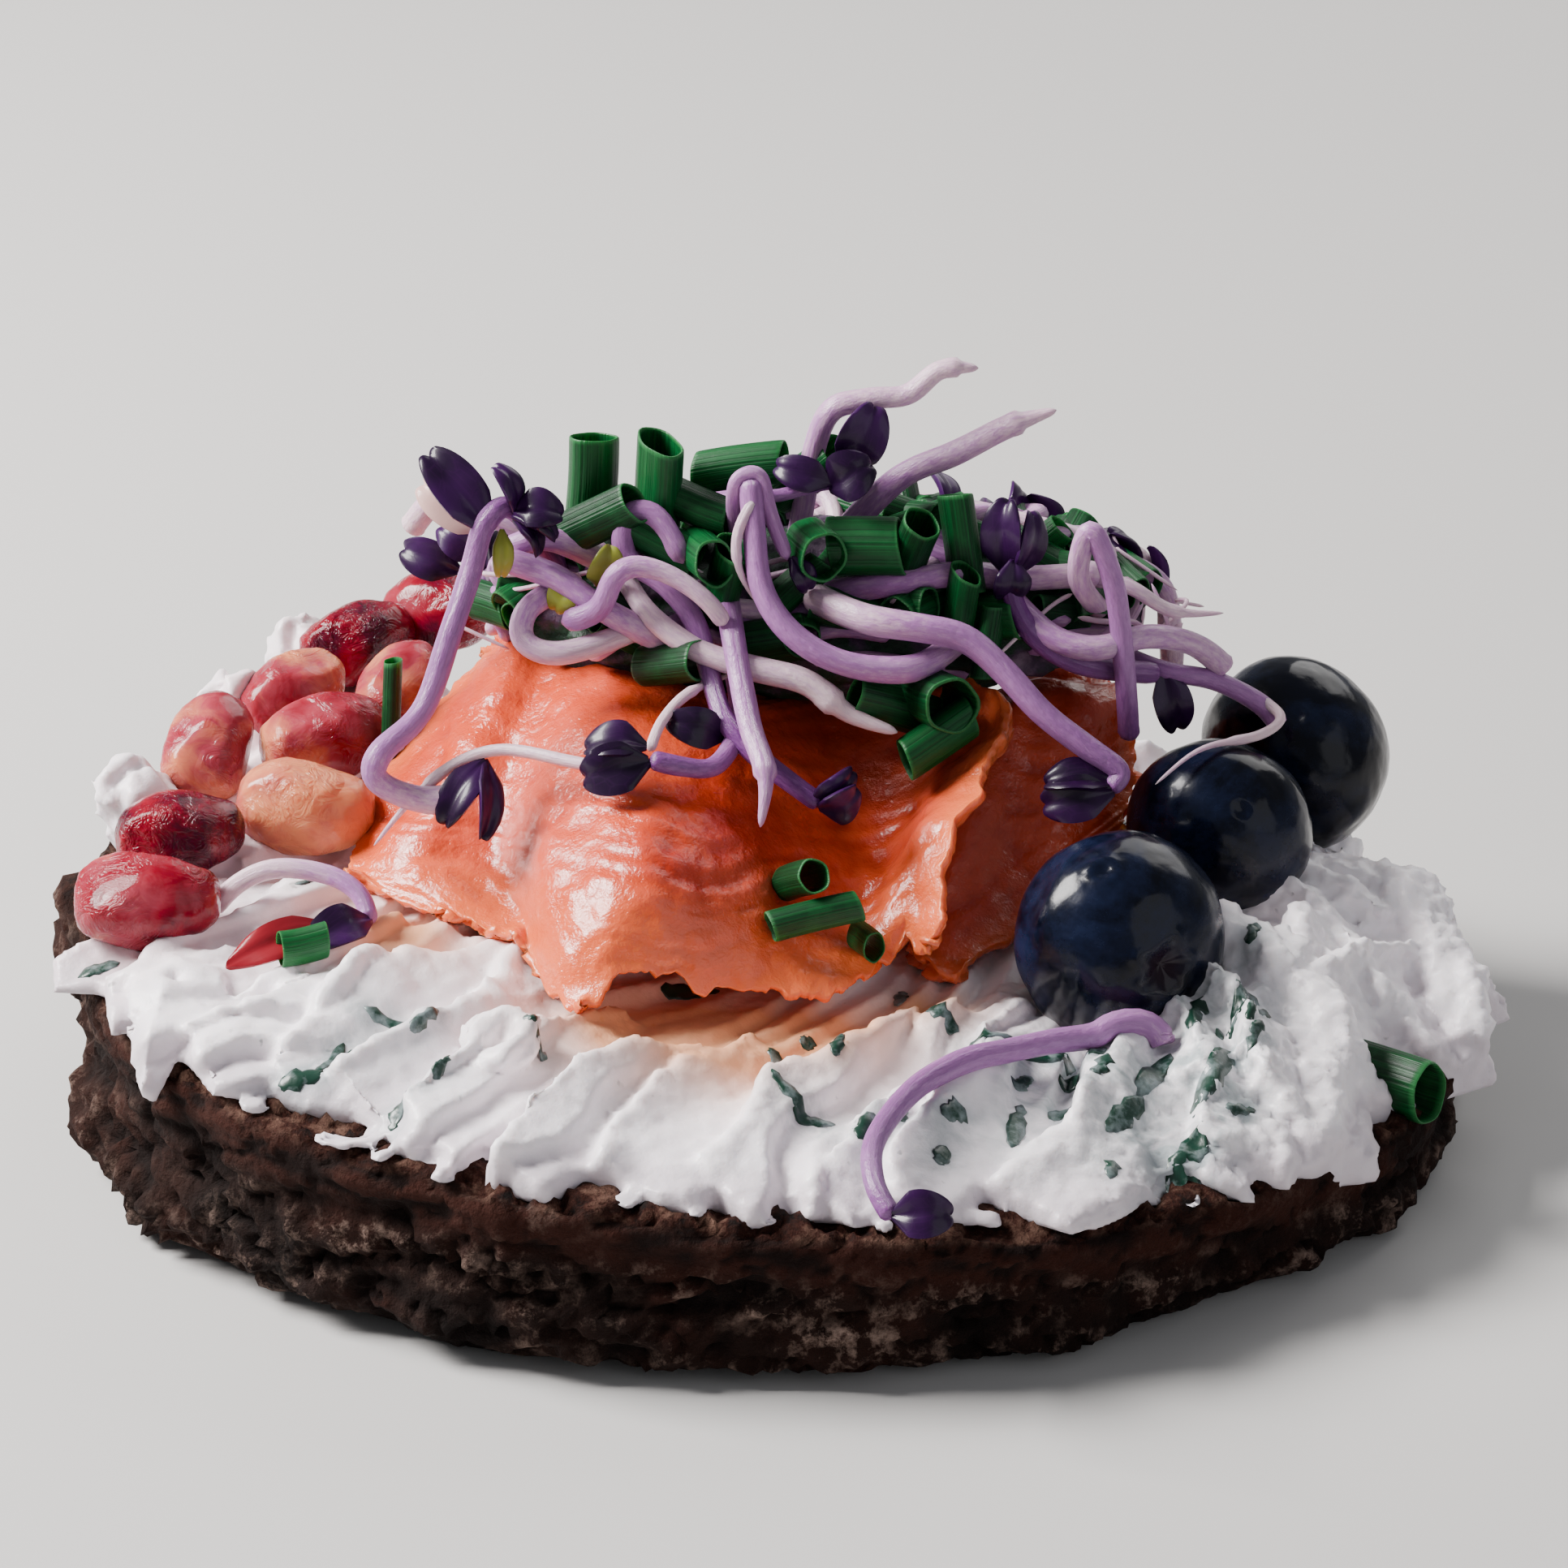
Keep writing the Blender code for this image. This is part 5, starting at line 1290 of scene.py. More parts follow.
def seed_finish(look):
    """Clear, juicy flesh, from pale to dark red."""
    made = Finish(
        "pomegranate_flesh", roughness=0.17, specular=0.28, coat=0.14, coat_roughness=0.05,
        glow=0.6, glow_radius=(1.0, 0.22, 0.16), glow_scale=3.0 * MM, ior=1.38,
    )
    mottle = made.times(made.plus(made.noise(420, 4, 0.6, None, 1.5), -0.5), 0.55)
    red = made.plus(made.painted("red"), mottle)
    base = made.colours(
        red, (0.05, look.pale), (0.42, look.pink), (0.72, look.red), (1.0, look.dark)
    )
    wrinkled = made.between(made.noise(170, 2), 0.42, 0.58, 0.10, 1.0)
    wrinkles = made.times(made.noise(430, 3, 0.6, None, 2.8), wrinkled)
    relief = made.bump(made.noise(240, 3, 0.55, None, 1.2), 0.26, 0.5)
    relief = made.bump(wrinkles, 0.60, 0.9, relief)
    made.set(colour=base, normal=relief)
    return made.material


class SANDWICH_OT_seeds(bpy.types.Operator):
    """The nine pomegranate seeds on the left"""

    bl_idname = "sandwich.seeds"
    bl_label = "Pomegranate seeds"

    def execute(self, context):
        look = context.scene.sandwich_seeds
        finish = seed_finish(look)
        for index in range(len(SEEDS)):
            finish_piece(pressed_seed(index, look), finish, "aril", f"pomegranate_{index + 1}")
        return {"FINISHED"}


# Berries: centre, size beside the common radius, and where the crown and a ringed dimple look.
BERRIES = {
    "blueberry_front": ((25.7, -12.0, 19.0), 1.03, (0.43, -0.90, 0.09), (-0.18, -0.43, 0.89)),
    "blueberry_middle": ((33.8, 2.6, 20.9), 0.92, (0.3, 0.8, 0.4), (0.15, -0.80, 0.55)),
    "blueberry_back": ((40.6, 16.6, 20.6), 1.0, (0.7, 0.5, 0.2), (-0.1, -0.7, 0.7)),
}


def crowned_berry(name, look):
    """A flattened ball with soft dents, a sunken crown of five lobes and a stalk scar."""
    centre, size, crown, ring = BERRIES[name]
    mesh = primitive(
        bpy.ops.mesh.primitive_uv_sphere_add, segments=120, ring_count=90, radius=1
    )
    seed = size * 40
    turn = Vector(crown).to_track_quat("Z", "Y").to_matrix()
    ring = (turn.inverted() @ Vector(ring)).normalized()
    bare = []
    for vertex in mesh.vertices:
        x, y, z = vertex.co
        tilt = math.acos(max(-1, min(1, z)))
        angle = math.atan2(y, x)
        lobes = 0.5 + 0.5 * math.cos(5 * angle + 0.6 * math.sin(2 * angle))
        rim = 0.24 + 0.10 * lobes
        lift = -0.150 * math.exp(-((tilt / 0.16) ** 2))
        lift += (0.014 + 0.010 * lobes) * math.exp(-(((tilt - rim) / 0.05) ** 2))
        lift -= 0.016 * lobes * math.exp(-(((tilt - 0.13) / 0.09) ** 2))
        back = vertex.co.angle(ring)
        lift -= 0.035 * math.exp(-((back / 0.075) ** 2))
        lift += 0.014 * math.exp(-(((back - 0.13) / 0.035) ** 2))
        dents = lumpy(vertex.co * 1.3 + Vector((seed, 0, 0)), 2)
        pits = lumpy(vertex.co * 5.5 + Vector((0, seed, 0)), 2)
        reach = 1 + lift + 0.030 * dents + 0.006 * pits
        vertex.co = Vector((x * reach, y * reach, z * reach * 0.89))
        bare.append(math.exp(-((tilt / 0.22) ** 4)))
    paint(mesh, "crown", bare)
    turn = turn.to_4x4() @ Matrix.Scale(look.radius * size, 4)
    mesh.transform(Matrix.Translation(at(*centre)) @ turn)
    return add_piece(name + "_fruit", mesh)


def berry_finish(look):
    """Near black skin, partly under a dull blue bloom."""
    made = Finish("blueberry_skin", specular=0.17, coat=0.07, coat_roughness=0.06)
    patches = made.noise(115, 6, 0.62, None, 0.6)
    scuffs = made.noise(520, 4, 0.7)
    bloom = made.between(made.plus(patches, made.times(scuffs, 0.35)), 0.60, 0.92, 0.0, 0.75)
    base = made.mix(bloom, look.skin, look.bloom)
    base = made.mix(made.times(made.painted("crown"), 0.8), base, look.scar)
    relief = made.bump(made.noise(700, 3, 0.5), 0.07, 0.5)
    relief = made.bump(made.noise(190, 3, 0.5), 0.45, 0.45, relief)
    made.set(colour=base, normal=relief, roughness=made.between(bloom, 0.0, 0.8, 0.17, 0.38))
    return made.material


class SANDWICH_OT_berries(bpy.types.Operator):
    """The three blueberries on the right"""

    bl_idname = "sandwich.berries"
    bl_label = "Blueberries"

    def execute(self, context):
        look = context.scene.sandwich_berries
        finish = berry_finish(look)
        for name in BERRIES:
            finish_piece(crowned_berry(name, look), finish, "berry", name)
        return {"FINISHED"}


# Sprouts and chives

# Stems: radius at the leaf end and at the root end, how purple each end is, and the points
# of the stem from its leaf end to its root end.
STEMS = {
    "left_arch": (0.75, 0.95, 0.85, 0.12, [
        (-15, 10, 38), (-18.5, 6, 45.2), (-20.6, 4.5, 44.6), (-21.6, 3, 41.5), (-23, 0, 38),
        (-25, -3, 33), (-28, -6, 31), (-28.2, -6.6, 29), (-25, -6, 27.2), (-21.6, -6, 27.6)]),
    "left_root": (0.5, 0.4, 0.05, 0.0, [
        (-11, -8.6, 30.9), (-14, -7.2, 30.8), (-19.2, -4.5, 30.6), (-23, -4.5, 29.2), (-26, -6, 27),
        (-28.6, -7, 24)]),
    "middle_leaf_stem": (0.7, 0.7, 0.85, 0.4, [
        (-8.4, -8.4, 31.6), (-6, -8, 30.8), (-3.6, -6.5, 30.2), (-2, -2, 31.4), (-2.5, 4, 33.5)]),
    "middle_thread": (0.4, 0.4, 0.0, 0.0, [
        (-8.4, -7, 31.6), (-7.6, -4.5, 32.8), (-5.6, -1.5, 33.8), (-2, 3, 33.5)]),
    "hanging_root": (0.9, 0.75, 0.5, 0.22, [
        (-3, 7, 38.5), (-2.6, 2, 37.8), (-1.9, -1.5, 35), (-1.1, -5, 32.4), (0, -8.5, 30.4),
        (-0.4, -11, 27.4)]),
    "hooked_stem": (0.75, 0.8, 0.95, 0.3, [
        (4, -7.6, 27.6), (1.9, -6.6, 28.8), (-0.8, -5, 30.4), (-3, -3, 32.2), (-4, 0, 34),
        (-5.2, 2.6, 37.6), (-7.6, 4, 40.2), (-10.4, 5.4, 41.6), (-10.2, 6.2, 44.6), (-8, 6, 44.6),
        (-6, 4.5, 41.5)]),
    "middle_arch": (0.55, 0.6, 0.4, 0.3, [
        (1.6, 3.5, 42.2), (0.2, 4.6, 45.6), (-0.4, 5.2, 48), (-1.6, 5.2, 48.2), (-2.4, 5.4, 46.6),
        (-2, 9, 39)]),
    "middle_main": (0.85, 1.05, 0.55, 0.25, [
        (-1.2, 5.2, 48), (-0.9, 3.6, 44.7), (-0.4, 1.5, 41), (1.4, 0, 38.3), (4.4, -1, 36.4),
        (8, -1, 35.4), (11.6, 0, 35.3), (15, 4, 36.4)]),
    "middle_rootlet": (0.45, 0.4, 0.1, 0.0, [
        (-0.8, 4, 46.8), (-2.1, 3, 44.6), (-2, 2, 42), (-0.6, 2.6, 39)]),
    "right_long": (0.75, 1.15, 0.75, 0.1, [
        (25, -4.5, 27.4), (25.9, -3.8, 28.4), (23.6, -3.2, 30), (20.2, -2.2, 32.4), (17.6, -1, 35),
        (14.6, 0, 37.4), (11, 0, 38.3), (7, 1, 38.6), (3, 5, 38.8)]),
    "white_root": (0.8, 1.1, 0.1, 0.0, [
        (-10.6, 6, 40), (-8.6, 3, 38), (-5, 1, 36), (-0.8, 0, 35), (3, -0.6, 34.2), (6, -1.4, 32),
        (9.6, -2, 30.8)]),
    "left_thick": (1.0, 1.0, 0.4, 0.25, [
        (-19.4, 6, 41.2), (-15.4, 4.4, 40.4), (-12.6, 3.2, 38.8), (-9.6, 3, 37), (-5.5, 4, 34.5)]),
    "left_hook": (0.9, 0.6, 0.5, 0.05, [
        (-15, 3, 37.4), (-12.2, 2, 38.8), (-11.2, 2, 41.4), (-9.4, 2.4, 42.2), (-6.6, 2, 41.4),
        (-4.2, 1.2, 39.8), (-3, 1.2, 38)]),
    "left_loop": (0.9, 0.9, 0.3, 0.1, [
        (-15, 6, 39), (-17.6, 3.6, 38.2), (-17.8, 2.2, 36.2), (-14.8, 1.4, 35.6), (-9, 4, 36.6)]),
    "top_thin": (0.9, 0.7, 0.25, 0.08, [
        (2, 11.6, 38), (4, 11, 49.8), (7.2, 11, 51.8), (10.4, 11, 52.2), (12.8, 11, 54.2),
        (15.6, 11, 54.3)]),
    "top_thick": (1.1, 0.8, 0.35, 0.1, [
        (4.6, 13, 39), (9.6, 11.6, 45.2), (14, 11, 47.6), (18, 11, 49.8), (21.4, 11, 51)]),
    "front_pair_stem": (0.55, 0.5, 0.6, 0.95, [
        (-2.2, 5.2, 46.6), (0.6, 6.6, 45.9), (3.6, 7, 46.6), (5, 7.6, 46.6)]),
    "right_purple": (0.75, 0.85, 0.95, 0.75, [
        (18.2, 5.4, 41), (18.2, 4.8, 38.4), (20, 4.2, 35.6), (23.6, 4, 33.5), (29.4, 6.4, 31.8)]),
    "right_thick": (1.0, 0.9, 0.3, 0.2, [
        (17, 9, 38), (20.6, 4.2, 36), (24.2, 3.2, 35.2), (28, 4.6, 35.6), (31.8, 6.8, 34),
        (34.4, 7.4, 31.6)]),
    "right_end": (0.7, 0.75, 0.75, 0.3, [
        (25, 9, 33), (29.6, 6.4, 32), (33.4, 7, 31), (37, 7, 29), (38.4, 6.4, 27.4)]),
    "right_rootlet": (0.4, 0.35, 0.1, 0.0, [
        (37, 7, 29.4), (38.4, 5.4, 28.6), (36.4, 3.4, 28), (32, 0.4, 28.4), (28.6, -2, 26.6)]),
    "right_peak": (0.8, 0.8, 0.1, 0.7, [
        (25, 8, 36), (22.9, 4.4, 40.4), (23.7, 3.4, 44.6), (25.3, 3.4, 41), (26, 3.4, 37.4),
        (26.6, 3.2, 32), (27, 4.4, 27.4)]),
    "right_stub": (0.7, 0.4, 0.2, 0.0, [(22, 10, 38), (26.4, 7, 38.8), (30, 7, 36.6), (34, 8, 36)]),
    "rear_left": (1.0, 1.0, 0.3, 0.1, [
        (-8, 14, 37), (-19.6, 14, 41), (-24, 16, 42.4), (-27, 17, 39)]),
    "behind_right": (0.95, 0.95, 0.4, 0.2, [
        (4, 7, 38), (9, 5, 39.6), (14, 6, 40), (19, 8, 38.8), (25, 8, 39.2)]),
    "behind_left": (0.9, 0.9, 0.35, 0.15, [(-20, 8, 40.6), (-16, 7, 42.4), (-10, 9, 38.6)]),
    "front_arch": (0.8, 0.95, 0.75, 0.3, [
        (8.6, -45.4, 14.6), (7.4, -43, 16), (7.6, -38.5, 17), (11, -31.5, 17.6), (16, -26.6, 17),
        (21, -23, 16.4), (25.6, -21, 15.4), (27.4, -20, 13.8)]),
    "left_arch_low": (0.7, 0.8, 0.5, 0.0, [
        (-28.6, -12.6, 20.4), (-29.4, -11, 22), (-32, -9.6, 23), (-36.6, -9, 23), (-41, -9.4, 20)]),
}

# Seed leaves: base, tip, width, which way the face looks, and the kind where it isn't dark.
LEAVES = [
    ((-18.4, 5, 45.4), (-19.6, 5, 49.4), 2.6, (0.8, -0.5, 0)),
    ((-18.4, 4.8, 45.4), (-14.6, 4, 45.8), 3.6, (0, -0.7, 0.7)),
    ((-18.6, 4.6, 45.2), (-14.9, 3.6, 44.0), 2.2, (0.2, -0.4, 1)),
    ((-18.4, 4.6, 45), (-16.2, 3.6, 42.4), 2.2, (0.9, -0.5, 0.3)),
    ((-20.2, 4.6, 43.8), (-25.3, 7, 50), 4.2, (0.5, -1, 0.2)),
    ((-20.4, -4.4, 29.6), (-23.9, -8, 25.8), 3.2, (-0.3, -0.8, 0.6)),
    ((-20.6, -4.2, 29.6), (-20.2, -9, 24.9), 2.6, (0.7, -0.7, 0.3)),
    ((-8.4, -8.4, 31.4), (-13.8, -9.2, 30.4), 4.4, (0, -0.9, 0.5)),
    ((-8.6, -7.6, 32.2), (-13.6, -7.6, 32.4), 3.6, (0.1, -0.5, 0.9)),
    ((-3, -3.2, 31), (-7.4, -4.4, 33), 3.4, (0.2, -0.9, 0.5)),
    ((3.8, -7.6, 27.4), (7, -8, 28.8), 3.6, (0.2, -0.9, -0.3)),
    ((3.2, -7.4, 27.6), (6.8, -6.8, 30), 2.6, (0.6, -0.8, 0.3)),
    ((25.4, -4.6, 27.3), (19.6, -5, 26.2), 4.0, (0, -0.9, 0.4)),
    ((25.4, -4.2, 27.7), (19.8, -4.4, 28.2), 3.4, (0.1, -0.4, 0.9)),
    ((1.8, 3.5, 42.4), (3.4, 3, 39.6), 2.2, (0.4, -0.9, 0.2)),
    ((4.8, 7, 46.8), (0.2, 7.4, 48.2), 3.0, (0, -0.9, 0.4)),
    ((4.6, 7, 46.4), (7.9, 6.4, 48.8), 4.4, (-0.2, -0.9, 0.4)),
    ((5.6, 9, 47), (8.4, 9.4, 52.4), 4.2, (0.2, -0.9, 0.2)),
    ((17.8, 6, 40), (17.4, 6, 46.4), 3.8, (-0.5, -0.9, 0.1)),
    ((18.2, 5.8, 40), (20, 6.4, 45.2), 3.4, (0.7, -0.7, 0)),
    ((18.2, 5, 41.6), (17.6, 4.6, 38), 3.2, (0.3, -1, 0.2)),
    ((29.4, 6.4, 32.2), (31, 5.6, 26.8), 3.4, (0.2, -1, 0.2)),
    ((-12.4, 5, 39.6), (-11.2, 4, 43), 3.2, (0.3, -1, 0.3), "pale"),
    ((-14, 5, 40), (-15.8, 3.4, 38), 2.8, (-0.2, -1, 0.3), "pale"),
    ((-19.4, 5, 44), (-19.4, 3.8, 40.2), 1.8, (0.2, -1, 0), "pale"),
    ((8.6, -45.4, 14.8), (13, -46.4, 15.4), 3.8, (0.2, -0.8, 0.5)),
    ((-28.6, -12.8, 20.8), (-33, -17, 21), 3.8, (-0.2, -0.7, 0.7)),
    ((-31.4, -14.6, 21.2), (-38.4, -18.8, 20.4), 3.4, (0.1, -0.6, 0.8), "shard"),
    ((-20.4, 15, 40), (-26.6, 16, 43.6), 4.6, (0.2, -1, 0.3), "blush"),
    ((-23.6, 22, 33.5), (-28.6, 23, 35.2), 3.6, (0.1, -1, 0.3)),
    ((-21.6, 21, 35), (-25.4, 22, 37.6), 3.4, (0.2, -1, 0.2)),
]
LEAF_KINDS = {"dark": 0.0, "pale": 1.0, "shard": 2.0, "blush": 3.0}
LEAF_WALL = 0.95
LEAF_CELLS = (16, 12)
# The cut tube: sides, cuts along it and bevel of its rims, beside a radius of 1.
TUBE_SIDES = 28
TUBE_CUTS = 9
TUBE_BEVEL = 0.05
# From where along half a unit of tube the pale cut rim begins.
CUT_RIM = 0.47

# Cut chives: middle, azimuth and rise of the axis, length and radius.
CHIVES = [
    ((-13, 11, 45.4), 0, 86, 7.0, 1.85), ((-8, 9, 45.8), -70, 80, 7.6, 2.35),
    ((-12.2, 7, 44), -25, 32, 6.8, 1.6), ((-2, 11, 46.4), -10, 12, 6.8, 1.6),
    ((-5, 8, 44.6), 160, 16, 5.8, 1.6), ((3, 12, 45.6), -20, 40, 6.4, 1.7),
    ((-7.6, 6, 42.6), 165, 24, 5.8, 1.5), ((-4.4, 4.6, 42), -75, 10, 5.4, 1.75),
    ((-3, 4.4, 40.4), -60, 68, 6.0, 1.6), ((7.4, 6, 42.2), -10, 4, 5.4, 2.1),
    ((3.6, 5.4, 42.2), -75, 8, 5.0, 1.9), ((10.6, 6, 41.6), -60, 62, 7.0, 1.5),
    ((14.4, 7, 42), 120, 74, 7.4, 1.65), ((14.4, 4.6, 38.2), -60, 78, 5.6, 1.4),
    ((16.4, 4, 35.4), 60, 70, 5.4, 1.25), ((0, 3.6, 35.6), 0, 10, 5.8, 1.7),
    ((2.4, 5, 39.6), 10, 40, 5.0, 1.3), ((-7, 2, 34.6), -40, 20, 5.8, 1.6),
    ((9.4, 0.6, 31.6), 200, 24, 7.0, 1.7), ((12.4, 0.2, 32.6), -62, 8, 5.4, 2.2),
    ((12.6, -1.2, 30), 25, 26, 6.0, 1.6),
]
SALMON_CHIVES = [
    ((2.5, -13, 24.6), -60, 30, 4.6, 1.25), ((3.5, -15.3, 22.4), 10, 10, 6.6, 1.15),
    ((7.2, -14, 22.4), -70, 10, 3.6, 1.2),
]
CREAM_CHIVES = [
    ((-28.4, 11, 26), 80, 76, 9.0, 0.95), ((-33, -18.1, 19.4), 8, 10, 3.4, 1.3),
    ((43.4, -16.4, 10.2), -42, 4, 11.5, 2.35),
]
CORE_MIDDLE = (4, 13.0, 34.3)
CORE_RADII = (24, 9.0, 6.7)
STEM_SIDES = 14
FILLER_STEMS = 34
FRONT_STEMS = 16
THREADS = 26
BACK_STEMS = 22
# A stem over the heap: place along its swing, height over the core and angle above its waist.
FILLER_ARCH = [(-1, 0.85, 0.1), (-0.45, 1.10, 0.45), (0.45, 1.14, 0.85), (1, 0.85, 1.1)]
FILLER_CHIVES = 44
FRONT_CHIVES = 16
FILLER_LEAVES = 24
# Stems whose free root end narrows to a fine tail, and where along them it starts.
TAILS = {
    "hanging_root": 0.80, "white_root": 0.78, "top_thick": 0.80, "top_thin": 0.88,
    "left_root": 0.7, "right_stub": 0.72, "right_rootlet": 0.6, "middle_thread": 0.7,
    "left_arch": 0.95, "middle_rootlet": 0.6,
}


def is_inside(point, ground):
    """Whether a line straight up from the point leaves an odd number of faces behind."""
    crossed = 0
    hit = ground.ray_cast(point, UP)[0]
    while hit:
        crossed += 1
        hit = ground.ray_cast(hit + UP * WELD, UP)[0]
    return crossed % 2 == 1


def push_clear(point, ground, clearance):
    """The nearest place to a point that lies clear of everything in the ground."""
    for _ in range(3):
        near, facing, _, distance = ground.find_nearest(point)
        inside = is_inside(point, ground)
        if not inside and distance >= clearance:
            return point
        away = near - point if inside else point - near
        direction = facing if distance < WELD else away.normalized()
        point = near + direction * (clearance + WELD)
    return point


def stem_tube(first, last, purple_first, purple_last, points, ground, look, seed, tail=1.0):
    """A tapering, slightly uneven tube along a smooth line, resting on what it crosses."""
    line = [at(*point) for point in points]
    reach = sum((b - a).length for a, b in zip(line, line[1:]))
    count = max(12, round(reach / look.step))
    stations = [along_curve(line, i / count) for i in range(count + 1)]
    widest = max(first, last) * MM
    if ground:
        stations = [push_clear(point, ground, widest * 0.9) for point in stations]
        for _ in range(4):
            stations[1:-1] = [
                (a + 2 * b + c) / 4 for a, b, c in zip(stations, stations[1:], stations[2:])
            ]
    rings, purple, places = [], [], []
    side = UP.copy()
    for i, centre in enumerate(stations):
        along = (stations[min(i + 1, count)] - stations[max(i - 1, 0)]).normalized()
        side = (side - along * side.dot(along)).normalized()
        other = along.cross(side)
        done = i / count
        radius = (first + (last - first) * done) * MM
        radius *= 1 + 0.10 * drift(seed * 3.1, i * 0.10, 0)
        tip = min(i, count - i) / 2.2
        radius *= math.sqrt(max(0.04, 1 - max(0, 1 - tip) ** 2))
        if done > tail:
            radius *= 0.78 - 0.50 * (done - tail) / (1 - tail)
        elif done > tail - 0.05:
            radius *= 1.06
        ring = []
        for k in range(STEM_SIDES):
            angle = 2 * math.pi * k / STEM_SIDES
            groove = 1 + 0.05 * math.cos(2 * angle + seed)
            out = side * math.cos(angle) + other * math.sin(angle)
            ring.append(centre + out * radius * groove)
        rings.append(ring)
        tint = purple_first + (purple_last - purple_first) * done
        tint += 0.16 * drift(seed, i * 0.06, 7)
        purple += [tint] * STEM_SIDES
        places += [(k / STEM_SIDES, i * look.step / MM * 0.05) for k in range(STEM_SIDES)]
    mesh = skin(rings, merge=False)
    paint(mesh, "purple", purple)
    map_points(mesh, "along", places)
    return mesh


def outwards(way, rise):
    """The direction at an angle round the heap and one above its waist."""
    return math.cos(way) * math.cos(rise), math.sin(way) * math.cos(rise), math.sin(rise)


def on_core(way, rise, over=1.0):
    """A place on the heap's core, or so much over it."""
    out = outwards(way, rise)
    return tuple(c + r * d * over for c, r, d in zip(CORE_MIDDLE, CORE_RADII, out))


def filler_stems(draw):
    """Arched stems over the top and back of the heap, where none is drawn in the table."""
    made = []
    for i in range(FILLER_STEMS):
        middle = math.pi * (0.04 + 0.92 * (i + 0.5 * draw.random()) / FILLER_STEMS)
        swing = draw.choice((-1, 1)) * draw.uniform(0.35, 0.7)
        lean = draw.uniform(-0.15, 0.3)
        points = []
        for side, over, rise in FILLER_ARCH:
            over += draw.uniform(-0.04, 0.08)
            points.append(on_core(middle + swing * side, rise + lean, over))
        purple = draw.uniform(0.05, 0.7)
        radius = draw.uniform(0.65, 1.0)
        made.append((radius, radius * 0.85, purple, draw.uniform(0, 0.3), points))
    return made


def front_stems(draw):
    """Stems close to the core's front, under those of the table, and thin root threads all over."""
    made = []
    for i in range(FRONT_STEMS + THREADS):
        thread = i >= FRONT_STEMS
        if thread:
            way = math.pi * draw.uniform(0, 2)
        else:
            way = math.pi * (1.06 + 0.88 * (i + draw.random()) / FRONT_STEMS)
        rise, swing = draw.uniform(-0.1, 1.0), draw.choice((-1, 1)) * draw.uniform(0.12, 0.35)
        reach = 1.16 if thread else 1.0
        points = []
        for side in (-1, -0.4, 0.4, 1):
            lean = draw.uniform(-0.3, 0.3)
            over = reach + draw.uniform(-0.04, 0.08)
            points.append(on_core(way + swing * side, rise + lean, over))
        radius = draw.uniform(0.14, 0.26) if thread else draw.uniform(0.55, 0.85)
        purple = draw.uniform(0, 0.15) if thread else draw.uniform(0.05, 0.8)
        made.append((radius, radius * 0.8, purple, draw.uniform(0, 0.3), points))
    return made


def back_stems(draw):
    """Stems that hang from the heap's top over its back and down behind the salmon."""
    made = []
    for i in range(BACK_STEMS):
        way = math.pi * (0.03 + 0.94 * (i + draw.random()) / BACK_STEMS)
        swing = draw.uniform(-0.25, 0.25)
        start = on_core(way, draw.uniform(0.6, 1.1), 1.04)
        over = on_core(way + swing * 0.5, 0.30, 1.10)
        side = on_core(way + swing, -0.35, draw.uniform(1.05, 1.2))
        drop = draw.uniform(0.5, 5.5)
        end = (side[0] + draw.uniform(-4, 4), side[1] + draw.uniform(-0.5, 2.0), side[2] - drop)
        radius = draw.uniform(0.5, 0.95)
        purple = draw.uniform(0.1, 0.9), draw.uniform(0, 0.3)
        made.append((radius * 0.8, radius, *purple, [start, over, side, end]))
    return made


def seed_leaf(base, tip, width, facing, kind="dark", seed=0):
    """A cupped seed leaf with a notched tip and a sunken midrib."""
    base, tip = Vector(base), Vector(tip)
    along = tip - base
    normal = Vector(facing)
    normal = (normal - along * (normal.dot(along) / along.length_squared)).normalized()
    side = along.cross(normal).normalized()
    steps, across = LEAF_CELLS
    upper, lower, places = [], [], []
    for i in range(steps + 1):
        done = i / steps
        breadth = math.sin(math.pi * (0.05 + 0.90 * done)) ** 0.45
        breadth *= 0.5 + 0.5 * min(1, done / 0.3)
        for j in range(across + 1):
            edge = j / across * 2 - 1
            notch = 0.14 * done**6 * (1 - abs(edge)) if kind != "shard" else 0
            spine = base + along * (done * (1 - notch) - 0.10 * done * done * abs(edge) ** 2)
            cup = 0.13 * width * breadth * abs(edge) ** 1.8
            cup -= 0.10 * math.exp(-((edge / 0.22) ** 2))
            arch = 0.45 * math.sin(math.pi * done) - 0.5 * done**3
            wave = 0.22 * drift(seed * 2.3, done * 2, edge * 1.2)
            place = spine + side * edge * width * 0.44 * breadth + normal * (cup + arch + wave)
            wall = LEAF_WALL * math.sqrt(1.08 - edge * edge) * (1 - 0.5 * done**4)
            wall *= 0.4 + 0.6 * breadth
            upper.append(at(*(place + normal * wall * 0.5)))
            lower.append(at(*(place - normal * wall * 0.5)))
            places.append((j / across, done))
    mesh = mesh_of(upper + lower, sheet_faces(steps, across))
    paint(mesh, "kind", [LEAF_KINDS[kind]] * len(mesh.vertices))
    map_points(mesh, "blade", places * 2)
    return clean(mesh, merge=False)


def stem_finish(look):
    """Waxy stems that pass from purple by lavender to white."""
    made = Finish(
        "sprout_stems", roughness=0.36, specular=0.5, glow=0.30, glow_radius=(1.0, 0.6, 0.8),
        glow_scale=0.8 * MM,
    )
    streaks = made.noise(17, 4, 0.65, made.around())
    purple = made.plus(made.painted("purple"), made.between(streaks, 0.3, 0.7, -0.12, 0.12))
    base = made.colours(purple, (0.0, look.white), (0.34, look.lavender), (0.92, look.purple))
    relief = made.bump(streaks, 0.18, 0.6)
    relief = made.bump(made.noise(1500, 3), 0.08, 0.6, relief)
    made.set(colour=base, normal=relief)
    return made.material


